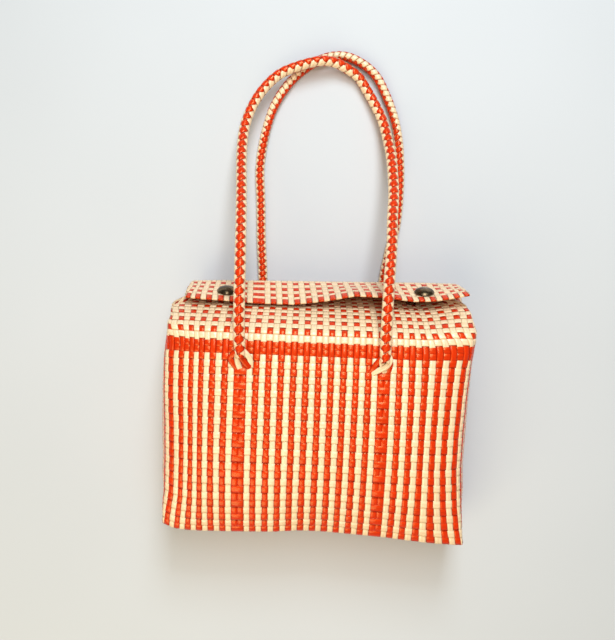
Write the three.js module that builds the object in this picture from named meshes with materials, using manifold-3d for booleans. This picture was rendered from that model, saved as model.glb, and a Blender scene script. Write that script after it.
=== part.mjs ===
// Woven tote bag lying on its back, its mouth folded shut under a flap
// Millimetres; X across the bag, Y from the base to the mouth, Z up from the floor
import * as THREE from "three";
import Module from "manifold-3d";

const kernel = await Module();
kernel.setup();
const { Manifold, Mesh: ManifoldMesh } = kernel;

// Strips of the weave: columns stand side by side and rows run round the bag
const PITCH = 5.41;
const ROW = 6.23;
const PANEL_STRIPS = 49;
const GUSSET_STRIPS = 15;
const STRIPED_ROWS = 25;
const BAND = 11.8;
const CHECKED_ROWS = 16;
const WALL = 1.5;
const CLEARANCE = 0.3;
const BAND_TOP = STRIPED_ROWS * ROW + BAND;
const HEIGHT = BAND_TOP + CHECKED_ROWS * ROW;
const PANEL_HALF = PANEL_STRIPS / 2;
const HALF_LOOP = PANEL_STRIPS + GUSSET_STRIPS;

// Finishes of the pieces
const ORANGE_STRIP = { color: 0xf4440c, roughness: 0.4, metalness: 0 };
const CREAM_BRAID = { color: 0xfbe3b0, roughness: 0.45, metalness: 0 };
const BRONZE = { color: 0x4a3d30, roughness: 0.35, metalness: 0.9 };

// A place that each panel's middle line passes, by height up the wall
const FRONT_PLACE = { at: 0, y: 6.5, z: 68 };
const BACK_PLACE = { at: 46, y: 61.4, z: WALL / 2 };

// Slope of each panel's middle line, in degrees above level, by height up the wall
const FRONT_LEANS = [
  { at: 0, lean: 37 },
  { at: 12, lean: 30 },
  { at: 32, lean: 20 },
  { at: 65, lean: 11 },
  { at: 105, lean: 4 },
  { at: 140, lean: 0 },
  { at: 166, lean: -4 },
  { at: 174, lean: -20 },
  { at: 180, lean: -48 },
  { at: 188, lean: -57 },
  { at: 200, lean: -60 },
  { at: 212, lean: -66 },
  { at: 224, lean: -72 },
  { at: HEIGHT, lean: -74 },
];
const BACK_LEANS = [
  { at: 0, lean: -45 },
  { at: 10, lean: 0 },
  { at: 92, lean: 0 },
  { at: 105, lean: 17.5 },
  { at: 122, lean: 17.5 },
  { at: 140, lean: 0 },
  { at: 202, lean: 0 },
  { at: 220, lean: 112 },
  { at: 257, lean: 115 },
  { at: HEIGHT, lean: 122 },
];

// Outline of the bag by height: half widths of front and back, drop and lift of their sides, corner rounding
const SECTIONS = [
  { at: 0, half: 133, span: 133, drop: 2, lift: 1, round: 3 },
  { at: 6, half: 133, span: 133, drop: 3, lift: 2, round: 4 },
  { at: 13, half: 134, span: 134, drop: 5, lift: 3, round: 6 },
  { at: 40, half: 135, span: 135, drop: 10, lift: 4, round: 10 },
  { at: 90, half: 135, span: 135, drop: 13, lift: 3, round: 10 },
  { at: 150, half: 134, span: 134, drop: 10, lift: 2.5, round: 8 },
  { at: 180, half: 134, span: 134, drop: 2, lift: 2.5, round: 5 },
  { at: 205, half: 133, span: 133, drop: 1, lift: 2, round: 4 },
  { at: 225, half: 131, span: 133, drop: 1, lift: 0, round: 2.5 },
  { at: 245, half: 126, span: 132, drop: 2, lift: -1, round: 2 },
  { at: HEIGHT, half: 118, span: 131.5, drop: 4, lift: -2, round: 2 },
];
const SIDE_POWER = 6;

// Gusset by height: swell outwards, pleat, bow below the base edge, pinch and hug of its tucked fold
const GUSSETS = [
  { at: 0, swell: 0, pleat: 0, bow: 14, pinch: 0, hug: 0 },
  { at: 6, swell: 2, pleat: 0, bow: 12, pinch: 0, hug: 0 },
  { at: 13, swell: 4, pleat: 0, bow: 10, pinch: 0, hug: 0 },
  { at: 40, swell: 8, pleat: 0, bow: 4, pinch: 0, hug: 0 },
  { at: 90, swell: 10, pleat: 0, bow: 0, pinch: 0, hug: 0 },
  { at: 150, swell: 7, pleat: 1, bow: 0, pinch: 0, hug: 0 },
  { at: 180, swell: -1, pleat: 4, bow: 0, pinch: 0, hug: 0 },
  { at: 205, swell: -12, pleat: 5, bow: 0, pinch: 0.03, hug: 0 },
  { at: 225, swell: -21, pleat: 2, bow: 0, pinch: 0.08, hug: 0.01 },
  { at: 245, swell: -19, pleat: 0, bow: 0, pinch: 0.12, hug: 0.03 },
  { at: HEIGHT, swell: -15, pleat: 0, bow: 0, pinch: 0.02, hug: 0.08 },
];

// How far the left and right sides stand out by height, and where on the panel that starts and ends
const SIDES = [
  { at: 0, left: -1.5, right: 11 },
  { at: 13, left: -3.5, right: 7 },
  { at: 30, left: -6.5, right: 3.5 },
  { at: 60, left: -7.5, right: 0 },
  { at: 90, left: -7, right: 0 },
  { at: 120, left: -5.5, right: 1.5 },
  { at: 150, left: -5, right: 4 },
  { at: 170, left: -7.5, right: 6 },
  { at: 190, left: -6.5, right: 5 },
  { at: 215, left: -5, right: 0 },
  { at: 235, left: -3, right: -1 },
  { at: 255, left: -1, right: -1 },
];
const SIDE_SPAN = { start: 85, end: 132 };

// How far the front's sides stand out and rise near the mouth by height, and where that starts and ends
const MOUTH_SIDES = [
  { at: 145, left: 0, right: 0, leftRise: 0, rightRise: 0 },
  { at: 167, left: 0, right: 0.5, leftRise: 2, rightRise: 2.5 },
  { at: 190, left: -0.5, right: 2.5, leftRise: 1, rightRise: 4 },
  { at: 215, left: 4.5, right: 10, leftRise: 0, rightRise: 6 },
  { at: 235, left: 5, right: 11, leftRise: -1, rightRise: 8 },
  { at: HEIGHT, left: 2, right: 2, leftRise: -1, rightRise: 4 },
];
const MOUTH_SPAN = { start: 96, end: 132 };

// Sag of the base's edge at its middle, its turn, the flare of its corners and the height where it ends
const SAG = { middle: 10, turn: 0.03, corner: 4.5, end: 130 };

// Sideways shift and turn of the back against the front at the rim, and the wave of the flap's edge
const BACK_SHIFT = 11.5;
const BACK_TURN = 0.037;
const FLAP_WAVE = [
  { x: -133, out: 3 },
  { x: -95, out: 1.2 },
  { x: -60, out: -1.8 },
  { x: -29, out: -2.8 },
  { x: 0, out: 1 },
  { x: 25, out: 6 },
  { x: 50, out: 4.8 },
  { x: 79, out: 0.2 },
  { x: 98, out: 0.3 },
  { x: 133, out: 5.5 },
];
const WAVE_START = 218;

// Facets of the body
const PANEL_FACETS = 18;
const GUSSET_FACETS = 12;
const WALL_HEIGHTS = [0, 6, 13, 24, 40, 65, 92, 105, 122, 140, 157];
const FOLD_HEIGHTS = [168, 175, 182, 189, 196, 203, 208, 213, 218, 224];
const FLAP_HEIGHTS = [234, 245, 257, HEIGHT];
const ROW_HEIGHTS = [...WALL_HEIGHTS, ...FOLD_HEIGHTS, ...FLAP_HEIGHTS];
const LINE_STEP = 0.5;
const LOOP_SAMPLES = 120;
const EVEN_STRIPS = 22;
const SEAT_STRIPS = 0.18;
const SEAT_RISE = 1;

// Snap fasteners, from the flap's rim and from the middle of the bag
const SNAP_X = 92;
const SNAP_DOWN = 16;
const STUD_DOWN = 24;
const CAP_RADIUS = 9.3;
const CAP_RISE = 3.4;
const CAP_EDGE = 0.9;
const CAP_SEAT = 0.8;
const SOCKET_RADIUS = 5;
const SOCKET_DEPTH = 1.6;
const STUD_RADIUS = 5;
const STUD_DEPTH = 1.4;
const SHANK_RADIUS = 1.8;
const SNAP_SIDES = 16;
const DOME_STEPS = 6;
const HOLE_RADIUS = SHANK_RADIUS + CLEARANCE;
const HOLE_LENGTH = 4 * WALL;

// Braided handles: thickness, splayed ends and the routes of their middle lines
const HANDLE_RADIUS = 4.6;
const HANDLE_SIDES = 10;
const HANDLE_STEPS = 56;
const FOOT = { wide: 15, long: 22, thick: 7.5 };
const FOOT_STRIPS = 11.5;
const FOOT_SIDES = { around: 14, along: 8 };
const FRONT_FOOT_HEIGHT = 152;
const BACK_FOOT_HEIGHT = 146;
const FRONT_ROUTE = [
  { x: -64, y: 177, z: 105.5 },
  { x: -65, y: 203, z: 104 },
  { x: -66, y: 235, z: 98 },
  { x: -68, y: 270, z: 84 },
  { x: -71, y: 308, z: 63 },
  { x: -74, y: 346, z: 43 },
  { x: -73, y: 373, z: 31 },
  { x: -66, y: 397, z: 23 },
  { x: -55, y: 416, z: 18 },
  { x: -42, y: 429, z: 16 },
  { x: -23, y: 438, z: 15.5 },
  { x: -1, y: 444, z: 14.5 },
  { x: 12, y: 444, z: 11 },
  { x: 25, y: 439, z: 8 },
  { x: 36, y: 432, z: 6 },
  { x: 45, y: 419, z: 6 },
  { x: 53, y: 405, z: 8 },
  { x: 60, y: 390, z: 12 },
  { x: 65, y: 371, z: 19 },
  { x: 69, y: 344, z: 33 },
  { x: 70, y: 309, z: 52 },
  { x: 68, y: 284, z: 67 },
  { x: 67, y: 258, z: 80 },
  { x: 65, y: 235, z: 91 },
  { x: 63, y: 208, z: 102 },
  { x: 62, y: 179, z: 105.5 },
];
const BACK_ROUTE = [
  { x: -55, y: 190, z: HANDLE_RADIUS },
  { x: -52, y: 222, z: HANDLE_RADIUS },
  { x: -55, y: 266, z: HANDLE_RADIUS },
  { x: -57, y: 306, z: HANDLE_RADIUS },
  { x: -59, y: 334, z: HANDLE_RADIUS },
  { x: -58, y: 354, z: HANDLE_RADIUS },
  { x: -54, y: 378, z: HANDLE_RADIUS },
  { x: -47, y: 401, z: HANDLE_RADIUS },
  { x: -34, y: 423, z: HANDLE_RADIUS },
  { x: -18, y: 439, z: HANDLE_RADIUS },
  { x: 3, y: 451, z: HANDLE_RADIUS },
  { x: 22, y: 453, z: HANDLE_RADIUS },
  { x: 40, y: 446, z: HANDLE_RADIUS },
  { x: 54, y: 434, z: HANDLE_RADIUS },
  { x: 65, y: 414, z: HANDLE_RADIUS },
  { x: 73, y: 394, z: HANDLE_RADIUS },
  { x: 78, y: 373, z: HANDLE_RADIUS },
  { x: 81, y: 342, z: HANDLE_RADIUS },
  { x: 81, y: 311, z: HANDLE_RADIUS },
  { x: 79, y: 285, z: HANDLE_RADIUS },
  { x: 73, y: 258, z: HANDLE_RADIUS },
  { x: 68, y: 227, z: HANDLE_RADIUS },
  { x: 67, y: 190, z: HANDLE_RADIUS },
];

const { clamp, degToRad, lerp, smoothstep } = THREE.MathUtils;

// Value of a table's column at a place along its key column
function tableValue(table, key, column, place) {
  const next = table.findIndex((row) => row[key] >= place);
  if (next === 0) return table[0][column];
  if (next < 0) return table.at(-1)[column];
  const [low, high] = [table[next - 1], table[next]];
  const share = (place - low[key]) / (high[key] - low[key]);
  return lerp(low[column], high[column], share);
}

// All columns of a table at one height
function tableRow(table, height) {
  const columns = Object.keys(table[0]);
  return Object.fromEntries(columns.map((column) => [column, tableValue(table, "at", column, height)]));
}

// Middle line of a panel in the plane of Y and Z, with its slope
function panelLine(place, leans) {
  const points = [];
  let [y, z] = [0, 0];
  for (let height = 0; height <= HEIGHT + LINE_STEP; height += LINE_STEP) {
    const lean = degToRad(tableValue(leans, "at", "lean", height));
    points.push({ y, z, lean });
    y += LINE_STEP * Math.cos(lean);
    z += LINE_STEP * Math.sin(lean);
  }
  const passed = points[Math.round(place.at / LINE_STEP)];
  const [shiftY, shiftZ] = [place.y - passed.y, place.z - passed.z];
  return (height) => {
    const spot = clamp(height / LINE_STEP, 0, points.length - 1);
    const below = Math.min(Math.floor(spot), points.length - 2);
    const [low, high] = [points[below], points[below + 1]];
    const share = spot - below;
    return {
      y: shiftY + lerp(low.y, high.y, share),
      z: shiftZ + lerp(low.z, high.z, share),
      lean: lerp(low.lean, high.lean, share),
    };
  };
}

const frontLine = panelLine(FRONT_PLACE, FRONT_LEANS);
const backLine = panelLine(BACK_PLACE, BACK_LEANS);

// Distances along a run of points
function runLengths(points) {
  const lengths = [0];
  points.slice(1).forEach((point, i) => lengths.push(lengths[i] + point.distanceTo(points[i])));
  return lengths;
}

// Point of a run at a distance along it
function pointAlong(points, lengths, distance) {
  const next = clamp(
    lengths.findIndex((length) => length >= distance),
    0,
    points.length - 1,
  );
  const high = lengths[points.length - 1] <= distance ? points.length - 1 : Math.max(next, 1);
  const span = lengths[high] - lengths[high - 1];
  const share = span > 0 ? clamp((distance - lengths[high - 1]) / span, 0, 1) : 0;
  return points[high - 1].clone().lerp(points[high], share);
}

// The same run as evenly spaced points
function evenRun(points, count) {
  const lengths = runLengths(points);
  const spacing = lengths.at(-1) / count;
  return Array.from({ length: count + 1 }, (_, i) => pointAlong(points, lengths, spacing * i));
}

// A half loop with its corners rounded off, its two ends mirrored across the middle of the bag
function rounded(points, reach) {
  const last = points.length - 1;
  const span = Math.ceil(2 * reach);
  const mirrored = (i) => {
    const inside = i < 0 ? -i : i > last ? 2 * last - i : i;
    const point = points[inside].clone();
    return inside === i ? point : point.setX(-point.x);
  };
  return points.map((_, i) => {
    const sum = new THREE.Vector3();
    let weight = 0;
    for (let offset = -span; offset <= span; offset += 1) {
      const share = Math.exp((-2 * offset * offset) / (reach * reach));
      sum.addScaledVector(mirrored(i + offset), share);
      weight += share;
    }
    return sum.divideScalar(weight);
  });
}

// Right half of the loop round the bag at one height, from the front's middle to the back's
function halfLoop(height) {
  const front = frontLine(height);
  const back = backLine(height);
  const section = tableRow(SECTIONS, height);
  const gusset = tableRow(GUSSETS, height);
  const panelPoint = (line, half, across, inward) =>
    new THREE.Vector3(
      half * across,
      line.y + inward * across ** SIDE_POWER * Math.sin(line.lean),
      line.z - inward * across ** SIDE_POWER * Math.cos(line.lean),
    );
  const samples = Array.from({ length: LOOP_SAMPLES + 1 }, (_, i) => i / LOOP_SAMPLES);
  const frontRun = samples.map((across) => panelPoint(front, section.half, across, section.drop));
  const backRun = samples.map((across) => panelPoint(back, section.span, across, -section.lift)).reverse();
  const corner = frontRun.at(-1);
  const chord = backRun[0].clone().sub(corner);
  const below = new THREE.Vector3(0, chord.z, -chord.y).normalize();
  const gussetRun = samples.map((t) => {
    const arch = Math.sin(Math.PI * t);
    const along = t + gusset.pinch * Math.sin(2 * Math.PI * t) + gusset.hug * arch;
    const out = gusset.swell * arch + gusset.pleat * Math.sin(3 * Math.PI * t);
    return corner
      .clone()
      .addScaledVector(chord, along)
      .addScaledVector(below, gusset.bow * arch ** 2)
      .add(new THREE.Vector3(out, 0, 0));
  });
  const middle = LOOP_SAMPLES / 2;
  const toTip = evenRun([...frontRun, ...gussetRun.slice(1, middle + 1)], LOOP_SAMPLES);
  const fromTip = evenRun([...gussetRun.slice(middle), ...backRun.slice(1)], LOOP_SAMPLES);
  const spacing = runLengths(toTip).at(-1) / LOOP_SAMPLES;
  return rounded([...toTip, ...fromTip.slice(1)], section.round / spacing);
}

// Distance along a half loop of a count of strips from a panel's middle towards the gusset's middle
function stripDistance(strips, reach) {
  if (strips <= EVEN_STRIPS) return strips * PITCH;
  const even = EVEN_STRIPS * PITCH;
  return even + ((strips - EVEN_STRIPS) / (HALF_LOOP / 2 - EVEN_STRIPS)) * (reach - even);
}

// Sag of the base's edge and lean of the sides of the filled bag
function settled(point, height) {
  const share = smoothstep(Math.abs(point.x), SIDE_SPAN.start, SIDE_SPAN.end);
  const fade = Math.max(0, 1 - height / SAG.end) ** 2;
  const out = tableValue(SIDES, "at", point.x < 0 ? "left" : "right", height);
  point.y -= fade * (SAG.middle + SAG.turn * point.x + SAG.corner * share);
  point.x += Math.sign(point.x) * share * out;
  return point;
}

// Shift of the back against the front, spread of the front's sides and wave of the flap's edge
function handmade(point, strips, height) {
  const backShare = smoothstep(strips, PANEL_HALF, HALF_LOOP - PANEL_HALF);
  const lean = backLine(height).lean;
  const flapShare = backShare * smoothstep(height, WAVE_START, HEIGHT);
  const wave = flapShare * tableValue(FLAP_WAVE, "x", "out", point.x);
  const skew = backShare * (height / HEIGHT) ** 2;
  const mouthShare = (1 - backShare) * smoothstep(Math.abs(point.x), MOUTH_SPAN.start, MOUTH_SPAN.end);
  const side = point.x < 0 ? "left" : "right";
  const out = Math.sign(point.x) * mouthShare * tableValue(MOUTH_SIDES, "at", side, height);
  const rise = mouthShare * tableValue(MOUTH_SIDES, "at", `${side}Rise`, height);
  point.y += wave * Math.sin(lean) + BACK_TURN * skew * point.x + rise;
  point.x += BACK_SHIFT * skew + out;
  point.z -= wave * Math.cos(lean);
  return point;
}

// Points of the weave's middle surface at one height, by strips round the bag from the front's middle
function loopPoints(height, places) {
  const half = halfLoop(height);
  const lengths = runLengths(half);
  const reach = lengths[LOOP_SAMPLES];
  const whole = lengths.at(-1);
  return places.map((place) => {
    const side = place < 0 ? -1 : 1;
    const strips = Math.abs(place);
    const distance =
      strips <= HALF_LOOP / 2
        ? stripDistance(strips, reach)
        : whole - stripDistance(HALF_LOOP - strips, whole - reach);
    const point = pointAlong(half, lengths, distance);
    point.x *= side;
    return handmade(settled(point, height), strips, height);
  });
}

// Strip places round one loop, from the front's left corner to the right and on round the back
function loopPlaces() {
  const spread = (from, to, count) =>
    Array.from({ length: count }, (_, i) => lerp(from, to, i / count));
  const gussetEnd = PANEL_HALF + GUSSET_STRIPS;
  return [
    ...spread(-PANEL_HALF, PANEL_HALF, PANEL_FACETS),
    ...spread(PANEL_HALF, gussetEnd, GUSSET_FACETS),
    ...spread(gussetEnd, HALF_LOOP, PANEL_FACETS / 2),
    ...spread(-HALF_LOOP, -gussetEnd, PANEL_FACETS / 2),
    ...spread(-gussetEnd, -PANEL_HALF, GUSSET_FACETS),
  ];
}

// Open sheet of the weave's middle surface: base and wall, with the rim as its one free edge
function weaveSheet() {
  const places = loopPlaces();
  const around = places.length;
  const points = ROW_HEIGHTS.flatMap((height) => loopPoints(height, places));
  const faces = [];
  const quad = (a, b, c, d) => faces.push(a, b, c, a, c, d);
  for (let row = 0; row + 1 < ROW_HEIGHTS.length; row += 1) {
    for (let i = 0; i < around; i += 1) {
      const next = (i + 1) % around;
      quad(row * around + i, row * around + next, (row + 1) * around + next, (row + 1) * around + i);
    }
  }
  const grid = [];
  for (let j = 0; j <= GUSSET_FACETS; j += 1) {
    for (let i = 0; i <= PANEL_FACETS; i += 1) {
      const right = PANEL_FACETS + j;
      const back = 2 * PANEL_FACETS + GUSSET_FACETS - i;
      const left = (around - j) % around;
      const inside = i > 0 && i < PANEL_FACETS && j > 0 && j < GUSSET_FACETS;
      if (inside) {
        points.push(basePoint(points, { i, j, right, back, left }));
        grid.push(points.length - 1);
      } else if (j === 0) grid.push(i);
      else if (i === PANEL_FACETS) grid.push(right);
      else if (j === GUSSET_FACETS) grid.push(back);
      else grid.push(left);
    }
  }
  const across = PANEL_FACETS + 1;
  for (let j = 0; j < GUSSET_FACETS; j += 1) {
    for (let i = 0; i < PANEL_FACETS; i += 1) {
      const low = j * across + i;
      quad(grid[low], grid[low + across], grid[low + across + 1], grid[low + 1]);
    }
  }
  const rim = Array.from({ length: around }, (_, i) => (ROW_HEIGHTS.length - 1) * around + i);
  return { points, faces, rim };
}

// Point of the base, blended between the four edges that it hangs from
function basePoint(points, { i, j, right, back, left }) {
  const u = i / PANEL_FACETS;
  const v = j / GUSSET_FACETS;
  const shares = [
    { at: i, share: 1 - v },
    { at: back, share: v },
    { at: left, share: 1 - u },
    { at: right, share: u },
    { at: 0, share: -(1 - u) * (1 - v) },
    { at: PANEL_FACETS, share: -u * (1 - v) },
    { at: PANEL_FACETS + GUSSET_FACETS, share: -u * v },
    { at: 2 * PANEL_FACETS + GUSSET_FACETS, share: -(1 - u) * v },
  ];
  const blend = new THREE.Vector3();
  shares.forEach(({ at, share }) => blend.addScaledVector(points[at], share));
  return blend;
}

// Geometry of numbered points and faces
function geometryOf(points, faces) {
  const geometry = new THREE.BufferGeometry().setFromPoints(points);
  return geometry.setIndex(faces);
}

// Closed wall round an open sheet
function thickened({ points, faces, rim }, wall) {
  const sheet = geometryOf(points, faces);
  sheet.computeVertexNormals();
  const normals = sheet.getAttribute("normal");
  const offset = (amount) =>
    points.map((point, i) =>
      point.clone().addScaledVector(new THREE.Vector3().fromBufferAttribute(normals, i), amount),
    );
  const inner = points.length;
  const closed = [...faces];
  for (let f = 0; f < faces.length; f += 3) {
    const [a, b, c] = faces.slice(f, f + 3);
    closed.push(inner + a, inner + c, inner + b);
  }
  rim.forEach((low, i) => {
    const next = rim[(i + 1) % rim.length];
    closed.push(low, next, inner + next, low, inner + next, inner + low);
  });
  return geometryOf([...offset(wall / 2), ...offset(-wall / 2)], closed);
}

// Solid of a geometry, for joins and cuts
function solidOf(geometry) {
  const shape = geometry.index ? geometry.toNonIndexed() : geometry;
  const vertProperties = Float32Array.from(shape.getAttribute("position").array);
  const triVerts = Uint32Array.from({ length: vertProperties.length / 3 }, (_, i) => i);
  const mesh = new ManifoldMesh({ numProp: 3, vertProperties, triVerts });
  mesh.merge();
  return new Manifold(mesh);
}

// Geometry of a solid
function geometryFrom(solid) {
  const mesh = solid.getMesh();
  const geometry = new THREE.BufferGeometry();
  geometry.setAttribute("position", new THREE.BufferAttribute(mesh.vertProperties.slice(), mesh.numProp));
  return geometry.setIndex(new THREE.BufferAttribute(mesh.triVerts.slice(), 1));
}

// Place on the wall and the direction out of it
function seatOn(strips, height) {
  const at = (place, up) => loopPoints(up, [place])[0];
  const point = at(strips, height);
  const along = at(strips + SEAT_STRIPS, height).sub(at(strips - SEAT_STRIPS, height));
  const up = at(strips, height + SEAT_RISE).sub(at(strips, height - SEAT_RISE));
  return { point, out: along.cross(up).normalize() };
}

// Turn of a shape's own Y axis to a direction, and its place
function placed(geometry, point, out) {
  const turn = new THREE.Quaternion().setFromUnitVectors(new THREE.Vector3(0, 1, 0), out);
  return geometry.applyQuaternion(turn).translate(point.x, point.y, point.z);
}

// Profile of a snap's cap, shank and socket, with the wall's middle at zero
function capProfile() {
  const seat = WALL / 2 + CAP_SEAT;
  const dome = Array.from({ length: DOME_STEPS + 1 }, (_, i) => {
    const turn = (Math.PI / 2) * (1 - i / DOME_STEPS);
    return new THREE.Vector2(CAP_RADIUS * Math.sin(turn), seat + CAP_EDGE + CAP_RISE * Math.cos(turn));
  });
  dome.at(-1).x = 0;
  return [
    new THREE.Vector2(0, -seat - SOCKET_DEPTH),
    new THREE.Vector2(SOCKET_RADIUS, -seat - SOCKET_DEPTH),
    new THREE.Vector2(SOCKET_RADIUS, -seat),
    new THREE.Vector2(SHANK_RADIUS, -seat),
    new THREE.Vector2(SHANK_RADIUS, seat),
    new THREE.Vector2(CAP_RADIUS, seat),
    ...dome,
  ];
}

// Profile of a snap's stud, shank and backing washer, with the wall's middle at zero
function studProfile() {
  const seat = WALL / 2 + CLEARANCE;
  return [
    new THREE.Vector2(0, -seat - STUD_DEPTH),
    new THREE.Vector2(STUD_RADIUS, -seat - STUD_DEPTH),
    new THREE.Vector2(STUD_RADIUS, -seat),
    new THREE.Vector2(SHANK_RADIUS, -seat),
    new THREE.Vector2(SHANK_RADIUS, seat),
    new THREE.Vector2(STUD_RADIUS, seat),
    new THREE.Vector2(STUD_RADIUS, seat + STUD_DEPTH),
    new THREE.Vector2(0, seat + STUD_DEPTH),
  ];
}

// Tube of a handle along its route, joined to a splayed end at each foot
function handleGeometry(feet, route) {
  const lift = WALL / 2 + CLEARANCE;
  const ends = feet.map(({ point, out }) => point.clone().addScaledVector(out, lift + HANDLE_RADIUS));
  const middle = route.map(({ x, y, z }) => new THREE.Vector3(x, y, z));
  const path = new THREE.CatmullRomCurve3([ends[0], ...middle, ends[1]], false, "centripetal");
  const circle = Array.from({ length: HANDLE_SIDES }, (_, i) => {
    const turn = (2 * Math.PI * i) / HANDLE_SIDES;
    return new THREE.Vector2(HANDLE_RADIUS * Math.cos(turn), HANDLE_RADIUS * Math.sin(turn));
  });
  const section = new THREE.Shape(circle);
  const tube = new THREE.ExtrudeGeometry(section, { steps: HANDLE_STEPS, extrudePath: path });
  const joined = feet.reduce((solid, { point, out }) => {
    const pad = new THREE.SphereGeometry(0.5, FOOT_SIDES.around, FOOT_SIDES.along);
    pad.scale(FOOT.wide, FOOT.thick, FOOT.long);
    const seat = point.clone().addScaledVector(out, lift + FOOT.thick / 2);
    return solid.add(solidOf(placed(pad, seat, out)));
  }, solidOf(tube));
  return geometryFrom(joined);
}

// The bag lies with the middle of its back's flat part at the origin
const bag = new THREE.Group();
bag.name = "woven_tote_bag";
const lying = new THREE.Group();
lying.position.y = -BACK_PLACE.y;
bag.add(lying);

// Adds a named piece in its finish
function piece(name, geometry, finish) {
  geometry.deleteAttribute("normal");
  const mesh = new THREE.Mesh(geometry, new THREE.MeshStandardMaterial(finish));
  mesh.name = name;
  lying.add(mesh);
}

const sides = { left: -1, right: 1 };
let body = solidOf(thickened(weaveSheet(), WALL));
for (const [side, sign] of Object.entries(sides)) {
  const cap = seatOn(sign * (HALF_LOOP - SNAP_X / PITCH), HEIGHT - SNAP_DOWN);
  const stud = seatOn((sign * SNAP_X) / PITCH, HEIGHT - STUD_DOWN);
  for (const { point, out } of [cap, stud]) {
    const drill = new THREE.CylinderGeometry(HOLE_RADIUS, HOLE_RADIUS, HOLE_LENGTH, SNAP_SIDES);
    body = body.subtract(solidOf(placed(drill, point, out)));
  }
  const capShape = new THREE.LatheGeometry(capProfile(), SNAP_SIDES);
  const studShape = new THREE.LatheGeometry(studProfile(), SNAP_SIDES);
  piece(`snap_cap_${side}`, placed(capShape, cap.point, cap.out), BRONZE);
  piece(`snap_stud_${side}`, placed(studShape, stud.point, stud.out), BRONZE);
}
piece("woven_body", geometryFrom(body), ORANGE_STRIP);

const footPlaces = [-FOOT_STRIPS, FOOT_STRIPS];
const frontFeet = footPlaces.map((place) => seatOn(place, FRONT_FOOT_HEIGHT));
const backFeet = footPlaces.map((place) => seatOn(Math.sign(place) * HALF_LOOP - place, BACK_FOOT_HEIGHT));
piece("handle_front", handleGeometry(frontFeet, FRONT_ROUTE), CREAM_BRAID);
piece("handle_back", handleGeometry(backFeet, BACK_ROUTE), CREAM_BRAID);

export default bag;
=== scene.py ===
"""Looks of a woven tote bag that lies on its back with its mouth folded shut under a flap.

Shapes are worked out in millimetres and put into the meshes in metres. X runs across the bag, Y from
its base to its mouth and Z up from the floor, with the origin in the middle of the back's flat part.
"""

import logging
import math
from dataclasses import dataclass, field
from enum import Enum

import bpy
import numpy as np
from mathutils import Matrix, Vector


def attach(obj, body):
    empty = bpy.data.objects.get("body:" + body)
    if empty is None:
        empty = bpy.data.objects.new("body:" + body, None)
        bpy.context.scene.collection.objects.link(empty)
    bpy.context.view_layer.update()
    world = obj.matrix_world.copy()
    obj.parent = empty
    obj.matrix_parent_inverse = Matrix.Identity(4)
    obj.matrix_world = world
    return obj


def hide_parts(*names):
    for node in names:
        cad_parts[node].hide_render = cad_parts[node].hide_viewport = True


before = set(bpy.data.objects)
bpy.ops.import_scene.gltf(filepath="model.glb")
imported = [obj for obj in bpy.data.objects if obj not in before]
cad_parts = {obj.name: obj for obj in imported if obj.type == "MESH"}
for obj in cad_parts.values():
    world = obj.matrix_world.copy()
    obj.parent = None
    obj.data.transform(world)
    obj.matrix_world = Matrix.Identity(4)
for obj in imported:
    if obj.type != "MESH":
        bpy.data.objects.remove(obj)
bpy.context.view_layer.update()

Table = tuple[tuple[float, ...], ...]
LOG = logging.getLogger("woven_tote_bag")
MM = 0.001
BODY = "root"


class StripColour(Enum):
    """The two colours of plastic strip."""

    ORANGE = "orange"
    CREAM = "cream"


class Side(Enum):
    """A side of the bag, with the sign of its X."""

    LEFT = -1
    RIGHT = 1


class Panel(Enum):
    """The panel that a handle is fastened to."""

    FRONT = "front"
    BACK = "back"


Pieces = dict[str, tuple[bpy.types.Object, StripColour]]
StripMaterials = dict[StripColour, bpy.types.Material]


@dataclass(frozen=True)
class BagSizes:
    """Sizes of the weave, in millimetres and in strips."""

    pitch: float = 5.41
    row: float = 6.23
    panel_strips: int = 49
    gusset_strips: int = 15
    striped_rows: int = 25
    band: float = 11.8
    checked_rows: int = 16
    wall: float = 1.5
    clearance: float = 0.3
    single_columns: int = 12
    middle_columns: int = 21

    @property
    def band_top(self) -> float:
        """Height of the band's upper edge."""
        return self.striped_rows * self.row + self.band

    @property
    def height(self) -> float:
        """Height of the rim along the wall."""
        return self.band_top + self.checked_rows * self.row

    @property
    def panel_half(self) -> float:
        """Strips from a panel's middle to its corner."""
        return self.panel_strips / 2

    @property
    def half_loop(self) -> float:
        """Strips from the front's middle to the back's."""
        return float(self.panel_strips + self.gusset_strips)

    def row_edges(self) -> np.ndarray:
        """Edges between rows.

        Returns:
            Their heights, from the base to the rim.
        """
        striped = np.arange(self.striped_rows + 1) * self.row
        checked = self.band_top + np.arange(self.checked_rows + 1) * self.row
        return np.concatenate([striped, checked])

    def panel_edges(self) -> np.ndarray:
        """Edges between columns across a panel, with its two double columns.

        Returns:
            Their strip counts, from the panel's left.
        """
        single, middle = [1.0] * self.single_columns, [1.0] * self.middle_columns
        widths = [*single, 2.0, *middle, 2.0, *single]
        return np.concatenate([[0.0], np.cumsum(widths)])


@dataclass(frozen=True)
class PanelLine:
    """Slope table of a panel's middle line, and a place that the line passes."""

    at: float
    y: float
    z: float
    leans: Table


SIZES = BagSizes()
RIM = SIZES.height
FRONT_LINE = PanelLine(
    at=0.0,
    y=6.5,
    z=68.0,
    leans=(
        (0, 37), (12, 30), (32, 20), (65, 11), (105, 4), (140, 0), (166, -4), (174, -20),
        (180, -48), (188, -57), (200, -60), (212, -66), (224, -72), (RIM, -74),
    ),
)
BACK_LINE = PanelLine(
    at=46.0,
    y=61.4,
    z=SIZES.wall / 2,
    leans=(
        (0, -45), (10, 0), (92, 0), (105, 17.5), (122, 17.5), (140, 0), (202, 0), (220, 112),
        (257, 115), (RIM, 122),
    ),
)

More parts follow.
